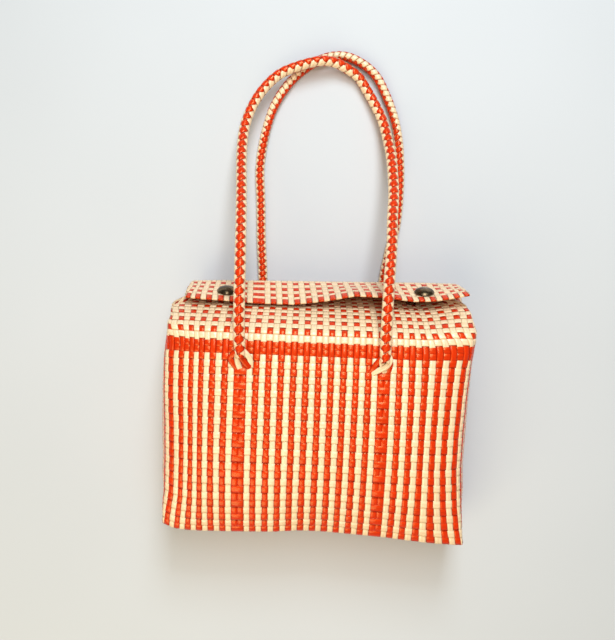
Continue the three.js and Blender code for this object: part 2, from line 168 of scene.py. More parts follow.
SECTION_COLUMNS = ("at", "half", "span", "drop", "lift", "round")
SECTIONS: Table = (
    (0, 133, 133, 2, 1, 3),
    (6, 133, 133, 3, 2, 4),
    (13, 134, 134, 5, 3, 6),
    (40, 135, 135, 10, 4, 10),
    (90, 135, 135, 13, 3, 10),
    (150, 134, 134, 10, 2.5, 8),
    (180, 134, 134, 2, 2.5, 5),
    (205, 133, 133, 1, 2, 4),
    (225, 131, 133, 1, 0, 2.5),
    (245, 126, 132, 2, -1, 2),
    (RIM, 118, 131.5, 4, -2, 2),
)
GUSSET_COLUMNS = ("at", "swell", "pleat", "bow", "pinch", "hug")
GUSSETS: Table = (
    (0, 0, 0, 14, 0, 0),
    (6, 2, 0, 12, 0, 0),
    (13, 4, 0, 10, 0, 0),
    (40, 8, 0, 4, 0, 0),
    (90, 10, 0, 0, 0, 0),
    (150, 7, 1, 0, 0, 0),
    (180, -1, 4, 0, 0, 0),
    (205, -12, 5, 0, 0.03, 0),
    (225, -21, 2, 0, 0.08, 0.01),
    (245, -19, 0, 0, 0.12, 0.03),
    (RIM, -15, 0, 0, 0.02, 0.08),
)
SIDE_COLUMNS = ("at", "left", "right")
SIDES: Table = (
    (0, -1.5, 11),
    (13, -3.5, 7),
    (30, -6.5, 3.5),
    (60, -7.5, 0),
    (90, -7, 0),
    (120, -5.5, 1.5),
    (150, -5, 4),
    (170, -7.5, 6),
    (190, -6.5, 5),
    (215, -5, 0),
    (235, -3, -1),
    (255, -1, -1),
)
MOUTH_COLUMNS = ("at", "left", "right", "rise_left", "rise_right")
MOUTH_SIDES: Table = (
    (145, 0, 0, 0, 0),
    (167, 0, 0.5, 2, 2.5),
    (190, -0.5, 2.5, 1, 4),
    (215, 4.5, 10, 0, 6),
    (235, 5, 11, -1, 8),
    (RIM, 2, 2, -1, 4),
)
# Waves of the flap's and the base's edges: place across the bag, and how far the edge moves there.
FLAP_WAVE: Table = (
    (-133, 3), (-95, 1.2), (-60, -1.8), (-29, -2.8), (0, 1), (25, 6), (50, 4.8), (79, 0.2), (98, 0.3),
    (133, 5.5),
)
BASE_WAVE: Table = (
    (-132, 1.5), (-120, -3), (-105, -5.4), (-94, -6.4), (-80, -6), (-56, -4.7), (-31, -3.2), (-6, -0.2),
    (15, 0.6), (45, -0.5), (71, -1.4), (90, -2.7), (109, -2.4), (134, -0.8),
)


def smoothstep(value: np.ndarray, low: float, high: float) -> np.ndarray:
    """Smooth rise from 0 at low to 1 at high.

    Args:
        value: Where to read the rise.
        low: Value where it starts.
        high: Value where it ends.

    Returns:
        3 t squared minus 2 t cubed, with t clipped to the range from 0 to 1.
    """
    t = np.clip((value - low) / (high - low), 0.0, 1.0)
    return t * t * (3.0 - 2.0 * t)


def read_wave(table: Table, places: np.ndarray) -> np.ndarray:
    """Second column of a table, read between its rows at places in the first."""
    rows = np.array(table, dtype=float)
    return np.interp(places, rows[:, 0], rows[:, 1])


def unit(vectors: np.ndarray) -> np.ndarray:
    """Vectors of length one in the same directions."""
    return vectors / np.linalg.norm(vectors, axis=-1, keepdims=True)


def row_lengths(points: np.ndarray) -> np.ndarray:
    """Distances along each row of points, from its first point.

    Args:
        points: Rows of points, shaped (rows, count, 3).

    Returns:
        Distances, shaped (rows, count).
    """
    steps = np.linalg.norm(np.diff(points, axis=1), axis=-1)
    return np.concatenate([np.zeros((len(points), 1)), np.cumsum(steps, axis=1)], axis=1)


def along_rows(points: np.ndarray, lengths: np.ndarray, distances: np.ndarray) -> np.ndarray:
    """Points of each row at given distances along it.

    All rows are read in one pass: each row's distances are shifted clear of the row before.

    Args:
        points: Rows of points, shaped (rows, count, 3).
        lengths: Distances of those points along their rows.
        distances: Distances to read, shaped (rows, any).

    Returns:
        Points shaped (rows, any, 3).
    """
    gap = 2.0 * lengths.max() + 1.0
    shift = np.arange(len(lengths))[:, None] * gap
    query = (np.clip(distances, 0.0, lengths[:, -1:]) + shift).ravel()
    knots = (lengths + shift).ravel()
    columns = [np.interp(query, knots, points[..., axis].ravel()) for axis in range(3)]
    return np.stack(columns, axis=-1).reshape(distances.shape + (3,))


@dataclass
class BagForm:
    """Middle surface of the weave, worked out once on a grid and read between the grid's points."""

    sizes: BagSizes
    line_step: float = 0.5
    height_step: float = 0.75
    place_step: float = 0.125
    above_rim: float = 4.0
    samples: int = 120
    side_power: int = 6
    even_strips: float = 22.0
    back_shift: float = 11.5
    back_turn: float = 0.037
    wave_start: float = 218.0
    side_span: tuple[float, float] = (85.0, 132.0)
    mouth_span: tuple[float, float] = (96.0, 132.0)
    sag: float = 10.0
    sag_turn: float = 0.03
    sag_corner: float = 4.5
    sag_end: float = 130.0
    base_wave_end: float = 80.0
    slide_left: float = 1.0
    slide_right: float = 1.6
    slide_front: tuple[float, float] = (14.0, 24.5)
    slide_back: tuple[float, float] = (26.0, 38.0)
    slide_heights: tuple[float, float] = (158.0, 184.0)

    def __post_init__(self) -> None:
        """Works out the wall's grid and the base's grid."""
        heights = np.arange(0.0, self.sizes.height + self.above_rim, self.height_step)
        self.front = self._panel_line(FRONT_LINE, heights)
        self.back = self._panel_line(BACK_LINE, heights)
        wall = self._wall_points(heights)
        wall[..., 1] -= BACK_LINE.y
        self._wall = self._with_normals(wall, flip=False)
        self._base = self._with_normals(self._base_points(), flip=True)

    def _panel_line(self, line: PanelLine, heights: np.ndarray) -> dict[str, np.ndarray]:
        """Middle line of a panel: its slope is summed up the wall from a table of leans.

        Args:
            line: Slope table and a place that the line passes.
            heights: Heights up the wall to read.

        Returns:
            Columns y, z and lean, one value for each height.
        """
        at = np.arange(0.0, heights[-1] + self.line_step, self.line_step)
        table = np.array(line.leans, dtype=float)
        lean = np.radians(np.interp(at, table[:, 0], table[:, 1]))
        y = self.line_step * (np.cumsum(np.cos(lean)) - np.cos(lean))
        z = self.line_step * (np.cumsum(np.sin(lean)) - np.sin(lean))
        y += line.y - np.interp(line.at, at, y)
        z += line.z - np.interp(line.at, at, z)
        values = {"y": y, "z": z, "lean": lean}
        return {name: np.interp(heights, at, column) for name, column in values.items()}

    @staticmethod
    def _columns(names: tuple[str, ...], table: Table, heights: np.ndarray) -> dict[str, np.ndarray]:
        """Columns of a table read at heights, each shaped (heights, 1).

        Args:
            names: Names of the table's columns, the height first.
            table: Rows of the table.
            heights: Heights to read.

        Returns:
            One array for each column.
        """
        rows = np.array(table, dtype=float)
        return {
            name: np.interp(heights, rows[:, 0], rows[:, i])[:, None]
            for i, name in enumerate(names)
        }

    def _half_loops(self, heights: np.ndarray) -> np.ndarray:
        """Right half of the loop round the bag at each height, from the front's middle to the back's.

        A panel is a straight run whose sides drop by a power of the distance from its middle. The
        gusset joins the corners as a chord with a sine swell, a pleat of three waves and a bow.

        Args:
            heights: Heights up the wall.

        Returns:
            Points shaped (heights, 2 * samples + 1, 3).
        """
        section = self._columns(SECTION_COLUMNS, SECTIONS, heights)
        gusset = self._columns(GUSSET_COLUMNS, GUSSETS, heights)
        t = np.linspace(0.0, 1.0, self.samples + 1)[None, :]

        def panel(line: dict[str, np.ndarray], half: np.ndarray, inward: np.ndarray) -> np.ndarray:
            """Half of a panel, from its middle to its corner.

            Args:
                line: Middle line of the panel.
                half: Half of the panel's width.
                inward: How far the corner falls inward.

            Returns:
                Points shaped (heights, samples + 1, 3).
            """
            fall = inward * t**self.side_power
            lean = line["lean"][:, None]
            y = line["y"][:, None] + fall * np.sin(lean)
            z = line["z"][:, None] - fall * np.cos(lean)
            return np.stack([half * t, y, z], axis=-1)

        front = panel(self.front, section["half"], section["drop"])
        back = panel(self.back, section["span"], -section["lift"])[:, ::-1]
        corner = front[:, -1:]
        chord = back[:, :1] - corner
        below = unit(np.stack([0 * chord[..., 0], chord[..., 2], -chord[..., 1]], axis=-1))
        arch = np.sin(np.pi * t)
        along = t + gusset["pinch"] * np.sin(2 * np.pi * t) + gusset["hug"] * arch
        out = gusset["swell"] * arch + gusset["pleat"] * np.sin(3 * np.pi * t)
        side = corner + chord * along[..., None] + below * (gusset["bow"] * arch**2)[..., None]
        side[..., 0] += out
        middle = self.samples // 2
        to_tip = self._even(np.concatenate([front, side[:, 1 : middle + 1]], axis=1))
        from_tip = self._even(np.concatenate([side[:, middle:], back[:, 1:]], axis=1))
        spacing = row_lengths(to_tip)[:, -1:] / self.samples
        whole = np.concatenate([to_tip, from_tip[:, 1:]], axis=1)
        return self._rounded(whole, section["round"] / spacing)

    def _even(self, points: np.ndarray) -> np.ndarray:
        """The same rows, with their points evenly spaced.

        Args:
            points: Rows of points, shaped (rows, count, 3).

        Returns:
            Points shaped (rows, samples + 1, 3).
        """
        lengths = row_lengths(points)
        shares = np.linspace(0.0, 1.0, self.samples + 1)[None, :]
        return along_rows(points, lengths, lengths[:, -1:] * shares)

    @staticmethod
    def _rounded(points: np.ndarray, reach: np.ndarray) -> np.ndarray:
        """Rows of points smoothed by a bell-shaped weight, mirrored across the bag at their ends.

        Args:
            points: Half loops, shaped (rows, count, 3).
            reach: Width of the weight in points, shaped (rows, 1).

        Returns:
            The rounded rows.
        """
        count = points.shape[1]
        widest = int(np.ceil(2 * reach).max())
        mirror = np.array([-1.0, 1.0, 1.0])
        head = points[:, widest:0:-1] * mirror
        tail = points[:, -2 : -2 - widest : -1] * mirror
        padded = np.concatenate([head, points, tail], axis=1)
        total = np.zeros_like(points)
        weights = np.zeros_like(reach)
        for offset in range(-widest, widest + 1):
            share = np.exp(-2.0 * offset**2 / reach**2) * (abs(offset) <= np.ceil(2 * reach))
            start = widest + offset
            total += padded[:, start : start + count] * share[..., None]
            weights += share
        return total / weights[..., None]

    def _strip_distance(self, strips: np.ndarray, reach: np.ndarray) -> np.ndarray:
        """Distance from a panel's middle to a count of strips, which spread evenly near the corner.

        Args:
            strips: Counts of strips.
            reach: Distance from the panel's middle to the gusset's.

        Returns:
            Distances in millimetres.
        """
        pitch = self.sizes.pitch
        even = self.even_strips * pitch
        spread = (strips - self.even_strips) / (self.sizes.half_loop / 2 - self.even_strips)
        return np.where(strips <= self.even_strips, strips * pitch, even + spread * (reach - even))

    def _wall_points(self, heights: np.ndarray) -> np.ndarray:
        """Grid of the wall's middle surface over heights and strips round the bag.

        Args:
            heights: Heights up the wall.

        Returns:
            Points shaped (heights, places, 3), with the front's middle in the middle column.
        """
        loops = self._half_loops(heights)
        lengths = row_lengths(loops)
        reach, whole = lengths[:, self.samples][:, None], lengths[:, -1:]
        half_loop = self.sizes.half_loop
        strips = np.arange(0.0, half_loop + self.place_step / 2, self.place_step)[None, :]
        near = self._strip_distance(strips, reach)
        far = whole - self._strip_distance(half_loop - strips, whole - reach)
        right = along_rows(loops, lengths, np.where(strips <= half_loop / 2, near, far))
        left = right[:, :0:-1] * np.array([-1.0, 1.0, 1.0])
        grid = np.concatenate([left, right], axis=1)
        counts = np.abs(np.concatenate([strips[:, :0:-1], strips], axis=1))
        return self._handmade(self._settled(grid, heights), counts, heights[:, None])

    def _settled(self, grid: np.ndarray, heights: np.ndarray) -> np.ndarray:
        """Sags the base's edge and leans the sides of the filled bag.

        The sag fades with the square of the height that is left to its end, and the sides move by a
        table of heights, more and more towards the corners.

        Args:
            grid: Points of the wall.
            heights: Height of each row.

        Returns:
            The moved points.
        """
        sides = self._columns(SIDE_COLUMNS, SIDES, heights)
        x = grid[..., 0]
        share = smoothstep(np.abs(x), *self.side_span)
        fade = np.clip(1 - heights[:, None] / self.sag_end, 0.0, 1.0) ** 2
        y = grid[..., 1] - fade * (self.sag + self.sag_turn * x + self.sag_corner * share)
        out = np.where(x < 0, sides["left"], sides["right"])
        return np.stack([x + np.sign(x) * share * out, y, grid[..., 2]], axis=-1)

    def _handmade(self, grid: np.ndarray, strips: np.ndarray, heights: np.ndarray) -> np.ndarray:
        """Shifts and turns the back, spreads the mouth's sides, and waves the flap's and the base's edges.

        Args:
            grid: Points of the wall.
            strips: Strips of each column from the front's middle.
            heights: Height of each row.

        Returns:
            The moved points.
        """
        sizes = self.sizes
        back = smoothstep(strips, sizes.panel_half, sizes.half_loop - sizes.panel_half)
        wave = read_wave(FLAP_WAVE, grid[..., 0])
        wave = wave * back * smoothstep(heights, self.wave_start, sizes.height)
        lean = self.back["lean"][:, None]
        skew = back * (heights / sizes.height) ** 2
        mouth = self._columns(MOUTH_COLUMNS, MOUTH_SIDES, heights[:, 0])
        share = (1 - back) * smoothstep(np.abs(grid[..., 0]), *self.mouth_span)
        out = share * np.where(grid[..., 0] < 0, -mouth["left"], mouth["right"])
        rise = share * np.where(grid[..., 0] < 0, mouth["rise_left"], mouth["rise_right"])
        x = grid[..., 0] + self.back_shift * skew + out
        dip = read_wave(BASE_WAVE, grid[..., 0])
        dip = dip * (1 - back) * (1 - smoothstep(heights, 0.0, self.base_wave_end))
        y = grid[..., 1] + wave * np.sin(lean) + self.back_turn * skew * grid[..., 0] + rise + dip
        z = grid[..., 2] - wave * np.cos(lean)
        return np.stack([x, y, z], axis=-1)

    def _base_points(self) -> np.ndarray:
        """Grid of the base, blended linearly between the four edges that it hangs from.

        Returns:
            Points shaped (strips from front to back, strips across, 3).
        """
        sizes = self.sizes
        across = np.arange(0.0, sizes.panel_strips + self.place_step / 2, self.place_step)
        deep = np.arange(0.0, sizes.gusset_strips + self.place_step / 2, self.place_step)
        u = (across / sizes.panel_strips)[None, :, None]
        v = (deep / sizes.gusset_strips)[:, None, None]
        middle = across - sizes.panel_half
        front = self.wall(middle, 0 * across)[0][None]
        back = self.wall(self.behind(middle), 0 * across)[0][None]
        right = self.wall(sizes.panel_half + deep, 0 * deep)[0][:, None]
        left = self.wall(-sizes.panel_half - deep, 0 * deep)[0][:, None]
        edges = front * (1 - v) + back * v + left * (1 - u) + right * u
        near = front[:, :1] * (1 - u) + front[:, -1:] * u
        far = back[:, :1] * (1 - u) + back[:, -1:] * u
        return edges - near * (1 - v) - far * v

    @staticmethod
    def _with_normals(grid: np.ndarray, flip: bool) -> np.ndarray:
        """A grid of points with the directions out of it, side by side on the last axis."""
        normals = np.cross(np.gradient(grid, axis=1), np.gradient(grid, axis=0))
        return np.concatenate([grid, unit(-normals if flip else normals)], axis=-1)

    @staticmethod
    def _read(grid: np.ndarray, row: np.ndarray, column: np.ndarray) -> tuple[np.ndarray, np.ndarray]:
        """Reads a grid at fractional rows and columns, blended between four neighbours.

        Args:
            grid: Points with their normals.
            row: Rows to read.
            column: Columns to read.

        Returns:
            Points and unit normals.
        """
        row, column = np.broadcast_arrays(row, column)
        r = np.clip(np.floor(row).astype(int), 0, grid.shape[0] - 2)
        c = np.clip(np.floor(column).astype(int), 0, grid.shape[1] - 2)
        fr, fc = (row - r)[..., None], (column - c)[..., None]
        low = grid[r, c] * (1 - fc) + grid[r, c + 1] * fc
        high = grid[r + 1, c] * (1 - fc) + grid[r + 1, c + 1] * fc
        value = low * (1 - fr) + high * fr
        return value[..., :3], unit(value[..., 3:])

    def behind(self, place: np.ndarray) -> np.ndarray:
        """Place on the back that lies behind a place on the front."""
        return np.where(place >= 0, self.sizes.half_loop, -self.sizes.half_loop) - place

    def wall(self, place: np.ndarray, height: np.ndarray) -> tuple[np.ndarray, np.ndarray]:
        """Points and outward directions of the wall.

        Args:
            place: Strips round the bag from the front's middle, positive to the right.
            height: Height up the wall.

        Returns:
            Points in millimetres and unit normals.
        """
        half = self.sizes.half_loop
        wrapped = np.mod(np.asarray(place) + half, 2 * half)
        wrapped = np.mod(wrapped - self._slide(wrapped - half, np.asarray(height)), 2 * half)
        return self._read(self._wall, np.asarray(height) / self.height_step, wrapped / self.place_step)

    def _slide(self, place: np.ndarray, height: np.ndarray) -> np.ndarray:
        """Strips by which the columns beside a gusset slide to the left above the band.

        Args:
            place: Strips round the bag from the front's middle, positive to the right.
            height: Height up the wall.

        Returns:
            The slide, full over the gusset and nothing over the middles of front and back.
        """
        strips = np.abs(place)
        near, far = smoothstep(strips, *self.slide_front), smoothstep(strips, *self.slide_back)
        slide = np.where(place < 0, self.slide_left, self.slide_right)
        return slide * (near - far) * smoothstep(height, *self.slide_heights)

    def base(self, across: np.ndarray, deep: np.ndarray) -> tuple[np.ndarray, np.ndarray]:
        """Points and outward directions of the base.

        Args:
            across: Strips from the base's left edge.
            deep: Strips from the base's front edge.

        Returns:
            Points in millimetres and unit normals.
        """
        rows, columns = np.asarray(deep) / self.place_step, np.asarray(across) / self.place_step
        return self._read(self._base, rows, columns)


@dataclass(frozen=True)
class StripSection:
    """Cross-section of a flat strip with thinned edges, as a closed ring of points.

    Across runs from -1 to 1 over the strip's width and out from -1 to 1 over its thickness.
    """

    thickness: float = 0.62
    flat_share: float = 0.84
    top_points: int = 2

    def ring(self) -> tuple[np.ndarray, np.ndarray]:
        """Across and out of each point, round the section from one edge over the top.

        Returns:
            Two arrays of the same length.
        """
        flat = np.linspace(-self.flat_share, self.flat_share, self.top_points)
        across = np.concatenate([[-1.0], flat, [1.0], flat[::-1]])
        out = np.concatenate([[0.0], np.ones(len(flat)), [0.0], -np.ones(len(flat))])
        return across, out


@dataclass
class RibbonBatch:
    """Ribbons of one kind: strips of equal step count that share a cross-section.

    Points are shaped (strips, steps, ring, 3); along and dive (strips, steps); tone (strips).
    """

    points: np.ndarray
    across: np.ndarray
    along: np.ndarray
    dive: np.ndarray
    tone: np.ndarray
    closed: bool = False


@dataclass
class RibbonMesh:
    """Joins batches of ribbons into one mesh with a strip UV map, a dive attribute that drives painted
    shade, and a tone attribute.
    """

    name: str
    batches: list[RibbonBatch] = field(default_factory=list)

    def add(self, batch: RibbonBatch) -> None:
        """Adds a batch of ribbons."""
        self.batches.append(batch)

    @staticmethod
    def _faces(batch: RibbonBatch, first: int) -> list[np.ndarray]:
        """Faces of a batch: its side quads, and its end caps if it is open.

        Args:
            batch: The ribbons.
            first: Number of the batch's first point.

        Returns:
            Arrays of corner numbers.
        """
        strips, steps, ring = batch.points.shape[:3]
        index = first + np.arange(strips * steps * ring).reshape(strips, steps, ring)
        following = np.roll(index, -1, axis=1) if batch.closed else index[:, 1:]
        current = index if batch.closed else index[:, :-1]
        beside = np.roll(current, -1, axis=2)
        beside_next = np.roll(following, -1, axis=2)
        quads = np.stack([current, following, beside_next, beside], axis=-1).reshape(-1, 4)
        if batch.closed:
            return [quads]
        return [quads, index[:, 0], index[:, -1, ::-1]]

    def build(self) -> bpy.types.Object:
        """Makes the object.

        Returns:
            The object, with its place in its mesh.
        """
        vertices, polygons, uv, dive, tone = [], [], [], [], []
        first = 0
        for batch in self.batches:
            shape = batch.points.shape[:3]
            polygons += self._faces(batch, first)
            vertices.append(batch.points.reshape(-1, 3))
            across = np.broadcast_to((batch.across + 1) / 2, shape)
            along = np.broadcast_to(batch.along[..., None], shape)
            uv.append(np.stack([across, along], axis=-1).reshape(-1, 2))
            dive.append(np.broadcast_to(batch.dive[..., None], shape).ravel())
            tone.append(np.broadcast_to(batch.tone[:, None, None], shape).ravel())
            first += int(np.prod(shape))
        mesh = mesh_of(self.name, np.concatenate(vertices), polygons)
        corners = np.concatenate([p.ravel() for p in polygons])
        layer = mesh.uv_layers.new(name="strip")
        layer.data.foreach_set("uv", np.concatenate(uv)[corners].astype(np.float32).ravel())
        for name, values in (("dive", dive), ("tone", tone)):
            attribute = mesh.attributes.new(name, "FLOAT", "POINT")
            attribute.data.foreach_set("value", np.concatenate(values).astype(np.float32))
        return linked(mesh)


def mesh_of(name: str, points: np.ndarray, polygons: list[np.ndarray]) -> bpy.types.Mesh:
    """Smooth-shaded mesh of points in millimetres.

    Args:
        name: Name of the mesh.
        points: Points shaped (count, 3).
        polygons: Arrays of corner numbers, each shaped (faces, corners).

    Returns:
        The mesh, in metres.
    """
    mesh = bpy.data.meshes.new(name)
    corners = np.concatenate([p.ravel() for p in polygons]).astype(np.int32)
    totals = np.concatenate([np.full(len(p), p.shape[1]) for p in polygons]).astype(np.int32)
    starts = (np.cumsum(totals) - totals).astype(np.int32)
    mesh.vertices.add(len(points))
    mesh.vertices.foreach_set("co", (points * MM).astype(np.float32).ravel())
    mesh.loops.add(len(corners))
    mesh.loops.foreach_set("vertex_index", corners)
    mesh.polygons.add(len(totals))
    mesh.polygons.foreach_set("loop_start", starts)
    mesh.polygons.foreach_set("loop_total", totals)
    mesh.polygons.foreach_set("use_smooth", np.ones(len(totals), dtype=bool))
    mesh.update(calc_edges=True)
    mesh.validate()
    return mesh


def linked(mesh: bpy.types.Mesh) -> bpy.types.Object:
    """Puts a mesh into the scene.

    Args:
        mesh: The mesh.

    Returns:
        Its object.
    """
    made = bpy.data.objects.new(mesh.name, mesh)
    bpy.context.scene.collection.objects.link(made)
    return made


def dress_piece(piece: bpy.types.Object, material: bpy.types.Material, slot: str, *nodes: str) -> None:
    """Gives a piece its material and its body, and hides the CAD nodes that it stands for.

    Args:
        piece: The piece.
        material: Its material.
        slot: Not used.
        *nodes: CAD nodes that it replaces.
    """
    piece.data.materials.append(material)
    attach(piece, BODY)
    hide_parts(*nodes)
    LOG.info("%s: %d faces", piece.name, len(piece.data.polygons))


@dataclass
class StripPath:
    """Stations along a strip: where they are, how far out they stand and their count of cells."""

    where: np.ndarray
    out: np.ndarray
    cells: np.ndarray

    def reverse(self) -> "StripPath":
        """The same path, walked the other way."""
        return StripPath(self.where[::-1], self.out[::-1], self.cells.max() - self.cells[::-1])


@dataclass
class StripWeave:
    """Plain weave of the whole bag: strips up the walls and under the base, and rings round the walls.

    A strip passes over one crossing strip and under the next. Where it is over, it stands out from the
    middle surface by a lift, and where it is under it stands in by the same lift. A column crosses
    the rows' edges a little low, and a ring leans its lower edge out, so that rows lie like shingles.
    """

    form: BagForm
    lift: float = 0.34
    flank: float = 0.65
    flank_share: float = 0.84
    width_share: float = 0.492
    column_share: float = 0.48
    pair_share: float = 0.54
    column_slip: float = 0.6
    ring_tilt: float = 0.06
    band_cover: float = 0.8
    rim_lift: float = 0.68
    rim_turns: tuple[float, ...] = (30, 60, 90, 120, 150)
    hem_rows: tuple[float, ...] = (0.15, 0.6, 1.25)
    wobble: float = 0.045
    slow_wave: float = 0.13
    quick_wave: float = 0.47
    slow_share: float = 0.6
    ring_waves: int = 3
    flank_limit: float = 0.4
    seed: int = 7

    def __post_init__(self) -> None:
        """Takes the strips' section and starts the random draws."""
        self.sizes = self.form.sizes
        self.section = StripSection()
        self.random = np.random.default_rng(self.seed)

    def _stations(self, edges: np.ndarray, flank: float) -> tuple[np.ndarray, np.ndarray]:
        """Four stations in each cell: its start, the ends of its flat part, and its middle.

        Args:
            edges: Edges between cells.
            flank: Length of the slope between over and under, from the edge.

        Returns:
            Stations and their counts of cells, both shaped (cells, 4).
        """
        start, size = edges[:-1, None], np.diff(edges)[:, None]
        share = np.minimum(flank / size, self.flank_limit)
        shares = np.concatenate([0 * share, share, 0 * share + 0.5, 1 - share], axis=1)
        return start + shares * size, np.arange(len(size))[:, None] + shares

    def _outs(self, signs: np.ndarray, before: float) -> np.ndarray:
        """Stand-out of the four stations of each cell.

        Args:
            signs: 1 where the strip is over, -1 where it is under.
            before: Sign of the cell before the first.

        Returns:
            Millimetres, shaped (cells, 4).
        """
        previous = np.concatenate([[before], signs[:-1]])
        levels = [(previous + signs) / 2, signs * self.flank_share, signs, signs * self.flank_share]
        return self.lift * np.stack(levels, axis=1)

    def _wall_path(self, parity: int) -> StripPath:
        """Path of a column up the wall, over the rim and down inside as a hem.

        Args:
            parity: 0 for the orange columns and 1 for the cream ones.

        Returns:
            Heights, stand-outs and cells.
        """
        edges = self.sizes.row_edges()
        edges[1:-1] -= self.column_slip
        edges[self.sizes.striped_rows + 1] += -self.band_cover if parity else self.column_slip
        rows = np.arange(len(edges) - 1)
        signs = np.where((rows + parity) % 2 == 0, -1.0, 1.0)
        heights, cells = self._stations(edges, self.flank)
        outs = self._outs(signs, -signs[0])
        outs[-1] = self.rim_lift
        turns = np.radians(self.rim_turns)
        rim = self.sizes.height + self.rim_lift * np.sin(turns)
        hem = self.sizes.height - np.array(self.hem_rows) * self.sizes.row
        where = np.concatenate([heights.ravel(), rim, hem])
        out = np.concatenate([outs.ravel(), self.rim_lift * np.cos(turns), 0 * hem - self.rim_lift])
        end = float(len(rows))
        over = np.concatenate([cells.ravel(), end + 0 * rim, end + np.array(self.hem_rows)])
        return StripPath(where, out, over)

    def _base_path(self, edges: np.ndarray, first: float) -> StripPath:
        """Path of a strip under the base.

        Args:
            edges: Edges between the strips that it crosses.
            first: Sign of its first crossing.

        Returns:
            Strips along the path, stand-outs and cells.
        """
        signs = first * np.where(np.arange(len(edges) - 1) % 2 == 0, 1.0, -1.0)
        where, cells = self._stations(edges, self.flank / self.sizes.pitch)
        return StripPath(where.ravel(), self._outs(signs, -first).ravel(), cells.ravel())

    def _wobble(self, strips: int, cells: np.ndarray) -> np.ndarray:
        """Small sideways wander of each strip along its length, the sum of a slow and a quicker sine.

        Args:
            strips: Number of strips.
            cells: Counts of cells along them.

        Returns:
            Wander in strips, shaped (strips, cells).
        """
        phases = self.random.uniform(0, 2 * np.pi, (2, strips, 1))
        slow = np.sin(cells * self.slow_wave + phases[0])
        quick = np.sin(cells * self.quick_wave + phases[1])
        return self.wobble * (self.slow_share * slow + (1 - self.slow_share) * quick)

    def _batch(
        self, spots: tuple[np.ndarray, np.ndarray], path: StripPath, closed: bool, tilt: float = 0.0
    ) -> RibbonBatch:
        """Ribbons from points and normals of the middle surface.

        Args:
            spots: Points and normals, shaped (strips, steps, ring, 3).
            path: Stations of the strips.
            closed: Whether the strips are rings.
            tilt: Stand-out of one edge, and stand-in of the other.

        Returns:
            The batch, each point moved out by its stand-out and its place in the section.
        """
        points, normals = spots
        across, out = self.section.ring()
        lift = path.out[:, None] + out * self.section.thickness / 2 + tilt * across
        strips = len(points)
        # How far in each station stands, from 0 over to 1 under; the strip material paints shade by it.
        dive = np.clip((1 - path.out / self.lift) / 2, 0, 1)
        return RibbonBatch(
            points=points + normals * lift[None, ..., None],
            across=across,
            along=np.broadcast_to(path.cells, (strips, len(path.cells))),
            dive=np.broadcast_to(dive, (strips, len(path.cells))),
            tone=self.random.uniform(0, 1, strips),
            closed=closed,
        )

    def _join(self, walls: list[tuple[np.ndarray, np.ndarray]], path: StripPath) -> RibbonBatch:
        """One batch of strips whose stretches follow each other.

        Args:
            walls: Points and normals of each stretch.
            path: Stations of all stretches.

        Returns:
            The batch.
        """
        points = np.concatenate([w[0] for w in walls], axis=1)
        normals = np.concatenate([w[1] for w in walls], axis=1)
        return self._batch((points, normals), path, closed=False)

    @staticmethod
    def _chain(*paths: StripPath) -> StripPath:
        """Joins the stations of stretches that follow each other.

        Args:
            *paths: The stretches.

        Returns:
            One path, whose cells count on.
        """
        offsets = np.cumsum([0.0] + [p.cells.max() for p in paths[:-1]])
        return StripPath(
            np.concatenate([p.where for p in paths]),
            np.concatenate([p.out for p in paths]),
            np.concatenate([p.cells + o for p, o in zip(paths, offsets)]),
        )

    def panel_strips(self, colour: StripColour) -> RibbonBatch:
        """Strips that run down the front, under the base and up the back.

        Args:
            colour: Colour of the strips.

        Returns:
            The strips of that colour.
        """
        sizes = self.sizes
        parity = 0 if colour is StripColour.ORANGE else 1
        edges = sizes.panel_edges()
        centres = np.arange(sizes.panel_strips) + 0.5
        columns = np.searchsorted(edges, centres) - 1
        kept = columns % 2 == parity
        chosen = centres[kept]
        paired = (np.diff(edges)[columns] > 1)[kept][:, None, None]
        front = self._wall_path(parity).reverse()
        under = self._base_path(np.arange(sizes.gusset_strips + 1.0), 1.0 - 2.0 * parity)
        back = self._wall_path(parity)
        path = self._chain(front, under, back)
        across = self.section.ring()[0] * np.where(paired, self.pair_share, self.column_share)
        wander = self._wobble(len(chosen), path.cells)[..., None] * ~paired
        places = chosen[:, None, None] + wander + across
        stretches = np.cumsum([len(front.where), len(under.where)])
        front_at, under_at, back_at = np.split(places, stretches, axis=1)
        half = sizes.panel_half
        walls = [
            self.form.wall(front_at - half, front.where[None, :, None]),
            self.form.base(under_at, under.where[None, :, None]),
            self.form.wall(self.form.behind(back_at - half), back.where[None, :, None]),
        ]
        return self._join(walls, path)

    def side_strips(self, colour: StripColour) -> RibbonBatch:
        """Strips that run down the right gusset, along the base and up the left gusset.

        Args:
            colour: Colour of the strips.

        Returns:
            The strips of that colour.
        """
        sizes = self.sizes
        parity = 0 if colour is StripColour.ORANGE else 1
        centres = np.arange(sizes.gusset_strips) + 0.5
        chosen = centres[(np.arange(sizes.gusset_strips) + 1) % 2 == parity]
        right = self._wall_path(parity).reverse()
        under = self._base_path(sizes.panel_edges(), 1.0 - 2.0 * parity).reverse()
        left = self._wall_path(parity)
        path = self._chain(right, under, left)
        across = self.section.ring()[0] * self.column_share
        wander = self._wobble(len(chosen), path.cells)
        places = chosen[:, None, None] + wander[..., None] + across
        stretches = np.cumsum([len(right.where), len(under.where)])
        right_at, under_at, left_at = np.split(places, stretches, axis=1)
        half = sizes.panel_half
        walls = [
            self.form.wall(half + right_at, right.where[None, :, None]),
            self.form.base(under.where[None, :, None], under_at),
            self.form.wall(-half - left_at, left.where[None, :, None]),
        ]
        return self._join(walls, path)

